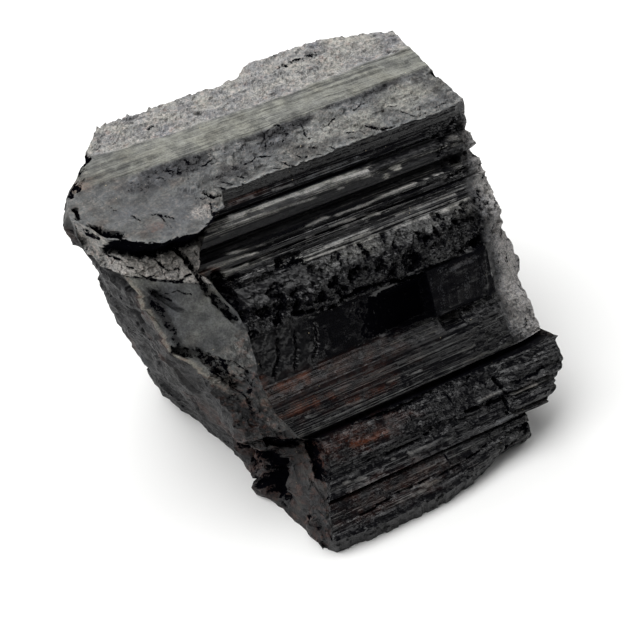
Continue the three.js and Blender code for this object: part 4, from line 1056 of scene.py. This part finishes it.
def schorlMaterial():
    # schorl, iron-black tourmaline, as broken in the ground: glassy striated crystal faces
    # that mirror the softbox in thin lines, and dull powdery grey breaks with rusty stains
    look = schorlLook
    material = bpy.data.materials.new("schorl")
    material.use_nodes = True
    tree = material.node_tree
    tree.nodes.clear()
    node = partial(addNode, tree)

    def stirred(value, *patterns, clamp=False):
        # a value with noise added: each pattern about 0 in place of 0.5, times its amount
        for pattern, amount in patterns:
            swing = node("Math", (pattern, 0.5), operation="SUBTRACT")
            swing = node("Math", (swing, amount), operation="MULTIPLY")
            value = node("Math", (value, swing), operation="ADD", use_clamp=clamp)
        return value

    def coated(colour, coats):
        # coats laid on a colour, each as strong as its factors multiplied; a factor in brackets is
        # a pattern, the stretch of it that counts and, where not 0 and 1, what it is spread between
        for name, *factors in coats:
            parts = [node("MapRange", part) if isinstance(part, tuple) else part for part in factors]
            amount = parts[0]
            for part in parts[1:]:
                amount = node("Math", (amount, part), operation="MULTIPLY")
            mixed = {0: amount, 6: colour, 7: linear(look[name])}
            colour = node("Mix", mixed, data_type="RGBA").outputs[2]
        return colour

    painted = []
    for name in ("skin", "texture", "marks"):
        source = node("Attribute", attribute_name=name)
        painted += [*node("SeparateColor", [source]).outputs, source.outputs["Alpha"]]
    crust, rust, warmth, polish, striae, cracks, grains, lightness, hollow, line, facets, chalk = painted
    glass = linear(look["glass"])
    place = node("TexCoord").outputs["Object"]
    stretch = (look["stria"] / look["striaLength"], 1, 1)
    stretched = node("Mapping", {"Scale": stretch, "Vector": place})
    # noise: its size, its detail and what it reads
    noises = [
        ("grain", 3, place), ("mottle", 4, place), ("stria", 2, stretched), ("crumb", 3, place),
        ("crackPatches", 2, place), ("fray", 5, place), ("film", 4, place), ("colouredGrain", 2, place)]
    grain, mottle, stria, crumb, patches, fray, film, coloured = [
        node("TexNoise", {
            "Scale": 1 / (look[name] * mm), "Detail": detail, "Roughness": 0.6, "Vector": source})
        for name, detail, source in noises]

    # cracks: borders between cells of a pattern that noise pushes out of shape
    push = {0: crumb.outputs["Color"], "Scale": look["push"] * mm}
    pushed = node("VectorMath", (place, node("VectorMath", push, operation="SCALE")), operation="ADD")
    cells = {"Scale": 1 / (look["crumb"] * mm), "Vector": pushed}
    border = node("TexVoronoi", cells, feature="DISTANCE_TO_EDGE")
    border = node("MapRange", (border, 0.2 * look["crack"], 1.6 * look["crack"], 1, 0))
    patchy = node("Math", (cracks, node("MapRange", (patches, 0.4, 0.62))), operation="MULTIPLY")
    crack = node("Math", (border, patchy), operation="MULTIPLY")

    # the crust breaks up at its edges: its amount plus noise, pushed towards all or nothing
    cover = node("MapRange", (stirred(crust, (mottle, 0.6), (grain, 0.5)), 0.22, 0.8))
    # on striated faces it lies in thin lines, the more of them the more crust there is
    ridged = node("MapRange", (stirred(stria, (crust, 0.36), (mottle, 0.3)), 0.5, 0.6))
    change = node("Math", (ridged, cover), operation="SUBTRACT")
    change = node("Math", (striae, change), operation="MULTIPLY")
    cover = node("Math", (cover, change), operation="ADD")
    # the painted shade and the thin lines get ragged edges from the noise
    fray = node("Math", (fray, 0.5), operation="SUBTRACT")
    fray = stirred(node("Math", (fray, 2.6), operation="MULTIPLY"), (grain, 1.3))
    inside = node("MapRange", (node("Math", (hollow, fray), operation="ADD"), 0.42, 0.56))
    inside = node("Math", (inside, node("MapRange", (hollow, 0.02, 0.3))), operation="MULTIPLY")
    thin = node("Math", (fray, 0.4), operation="MULTIPLY")
    thin = node("MapRange", (node("Math", (line, thin), operation="ADD"), 0.8, 0.92))
    frayed = node("Math", (inside, thin), operation="MAXIMUM")
    # neither cracks nor the painted shade hold any crust
    for gap in (crack, frayed):
        held = node("Math", (1, gap), operation="SUBTRACT")
        cover = node("Math", (cover, held), operation="MULTIPLY")

    # colour: cool to warm powder, brown film, pink and slate grains, then darker by the mottle,
    # by the grain and by the paint's own lightness, then chalk; rust and painted sparkle lie over it all
    dull = coated(linear(look["crustCool"]), (
        ("crustWarm", stirred(warmth, (film, 1.1), clamp=True)),
        ("umber", (film, 0.52, 0.66, 0, 0.7), (lightness, 0.4, 0.9, 1, 0)),
        ("pink", grains, (coloured, 0.54, 0.62)), ("slate", grains, (coloured, 0.46, 0.38)),
        ("glass", (mottle, 0.35, 0.65, 0.4, 0)), ("glass", (grain, 0.35, 0.6, 0.3, 0)),
        ("glass", node("Math", (1, lightness), operation="SUBTRACT")),
        ("chalk", chalk, (grain, 0.36, 0.64, 0.1, 1))))
    colour = node("Mix", {0: cover, 6: glass, 7: dull}, data_type="RGBA").outputs[2]
    dots = node("TexVoronoi", {"Scale": 1 / (look["specks"] * mm), "Vector": place})
    choice = node("SeparateColor", [dots.outputs["Color"]])
    colour = coated(colour, (
        ("rust", rust, (mottle, 0.4, 0.6, 0.1, 1), (stria, 0.4, 0.6, 0.3, 1)),
        ("speck", (dots, 0.035, 0.05, 1, 0), (choice, 0.62, 0.66), 0.6)))

    # polished glass is smooth, powder is rough; striae, powder, lumps and cracks stand in relief
    rough = node("MapRange", (polish, 0, 1, *look["roughness"]))
    dusty = node("Math", (cover, look["powderRoughness"]), operation="MULTIPLY")
    rough = stirred(node("Math", (rough, dusty), operation="ADD"), (grain, 0.2), clamp=True)
    unpolished = node("Math", (1, polish), operation="SUBTRACT")
    pairs = ((grain, cover), (stria, striae), (mottle, unpolished))
    powder, lines, bulges = [node("Math", pair, operation="MULTIPLY") for pair in pairs]
    height = node("Math", (powder, 0.8), operation="MULTIPLY")
    for form in (lines, node("Math", (bulges, 1.2), operation="MULTIPLY")):
        height = node("Math", (height, form), operation="ADD")
    gaps = node("Math", (crack, frayed), operation="MAXIMUM")
    height = node("Math", (height, gaps), operation="SUBTRACT")
    # crushed stone: every cell of two patterns turns the surface its own way
    normal = node("NewGeometry").outputs["Normal"]
    for size, amount in ((look["facet"], look["facetTilt"]), (look["splinter"], look["splinterTilt"])):
        crushed = node("TexVoronoi", {"Scale": 1 / (size * mm), "Vector": pushed}).outputs["Color"]
        tilt = node("VectorMath", (crushed, (0.5, 0.5, 0.5)), operation="SUBTRACT")
        tilt = {0: tilt, "Scale": node("Math", (facets, amount), operation="MULTIPLY")}
        tilt = node("VectorMath", tilt, operation="SCALE")
        normal = node("VectorMath", (normal, tilt), operation="ADD")
    normal = node("VectorMath", [normal], operation="NORMALIZE")
    bumps = {"Strength": look["bump"], "Distance": look["relief"] * mm, "Height": height}
    skin = node("BsdfPrincipled", {
        "IOR": look["ior"], "Specular IOR Level": look["reflection"], "Base Color": colour,
        "Roughness": rough, "Normal": node("Bump", {**bumps, "Normal": normal})})
    # painted shade, black patches and thin lines get a black diffuse shader that gives nothing back
    black = node("BsdfDiffuse", {"Color": glass, "Roughness": 0.5})
    node("OutputMaterial", {"Surface": node("MixShader", (frayed, skin, black))})
    return material


piece = buildStone()
piece.data.materials.append(schorlMaterial())
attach(piece, "root")
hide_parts("black_tourmaline")
print("stone dressed")


stage = {
    "floor": "#f4f4f3", "floorSize": 3.0, "floorRoughness": 0.9, "floorReflection": 0.1,
    # place, size and watts of the softboxes: above and behind on the left, then left, right
    "softboxes": [
        ((-0.28, 0.54, 0.80), 1.6, 27.0), ((-0.85, -0.05, 0.50), 0.9, 2.0),
        ((0.85, 0.10, 0.50), 0.9, 3.2)],
    "surround": 0.045, "backdrop": "#f1f1f0",
    "cameraAt": (-30.0, 45.0),      # degrees round from the front, and up
    "cameraDistance": 0.2286, "aimHeight": 20 * mm,
    "lens": 90.0, "sensor": 36.0, "clip": (0.01, 10.0),
}


def makeFloor():
    half = stage["floorSize"] / 2
    corners = [(-half, -half, 0), (half, -half, 0), (half, half, 0), (-half, half, 0)]
    mesh = bpy.data.meshes.new("floor")
    mesh.from_pydata(corners, [], [(0, 1, 2, 3)])
    floor = addObject("floor", mesh)
    material = bpy.data.materials.new("matt paper")
    material.use_nodes = True
    shader = material.node_tree.nodes["Principled BSDF"]
    shader.inputs["Base Color"].default_value = linear(stage["floor"])
    shader.inputs["Roughness"].default_value = stage["floorRoughness"]
    shader.inputs["Specular IOR Level"].default_value = stage["floorReflection"]
    mesh.materials.append(material)


def aimObject(thing, place, direction):
    # puts a lamp or the camera at a place, looking in a direction
    thing.location = place
    thing.rotation_mode = "QUATERNION"
    thing.rotation_quaternion = direction.to_track_quat("-Z", "Y")


def makeLights():
    for place, size, watts in stage["softboxes"]:
        data = bpy.data.lights.new("softbox", "AREA")
        data.shape, data.size, data.energy = "SQUARE", size, watts
        aimObject(addObject("softbox", data), place, -Vector(place))
    # dark surroundings for the mirror-like faces, pale ones where the camera looks past the floor
    world = bpy.data.worlds.new("studio")
    bpy.context.scene.world = world
    world.use_nodes = True
    tree = world.node_tree
    tree.nodes.clear()
    seen = addNode(tree, "LightPath").outputs["Is Camera Ray"]
    dim = addNode(tree, "Background", {"Color": (1, 1, 1, 1), "Strength": stage["surround"]})
    pale = addNode(tree, "Background", {"Color": linear(stage["backdrop"]), "Strength": 1.0})
    both = addNode(tree, "MixShader", (seen, dim, pale))
    addNode(tree, "OutputWorld", {"Surface": both})


def makeCamera():
    azimuth, elevation = np.radians(stage["cameraAt"])
    level = np.cos(elevation)
    outwards = Vector((np.sin(azimuth) * level, -np.cos(azimuth) * level, np.sin(elevation)))
    aim = Vector((-stone["middle"][0] * mm, -stone["middle"][1] * mm, stage["aimHeight"]))
    data = bpy.data.cameras.new("camera")
    data.lens, data.sensor_width = stage["lens"], stage["sensor"]
    data.clip_start, data.clip_end = stage["clip"]
    camera = addObject("camera", data)
    aimObject(camera, aim + outwards * stage["cameraDistance"], -outwards)
    bpy.context.scene.camera = camera


makeFloor()
makeLights()
makeCamera()
bpy.context.scene.view_settings.view_transform = "Standard"
print("stage set")
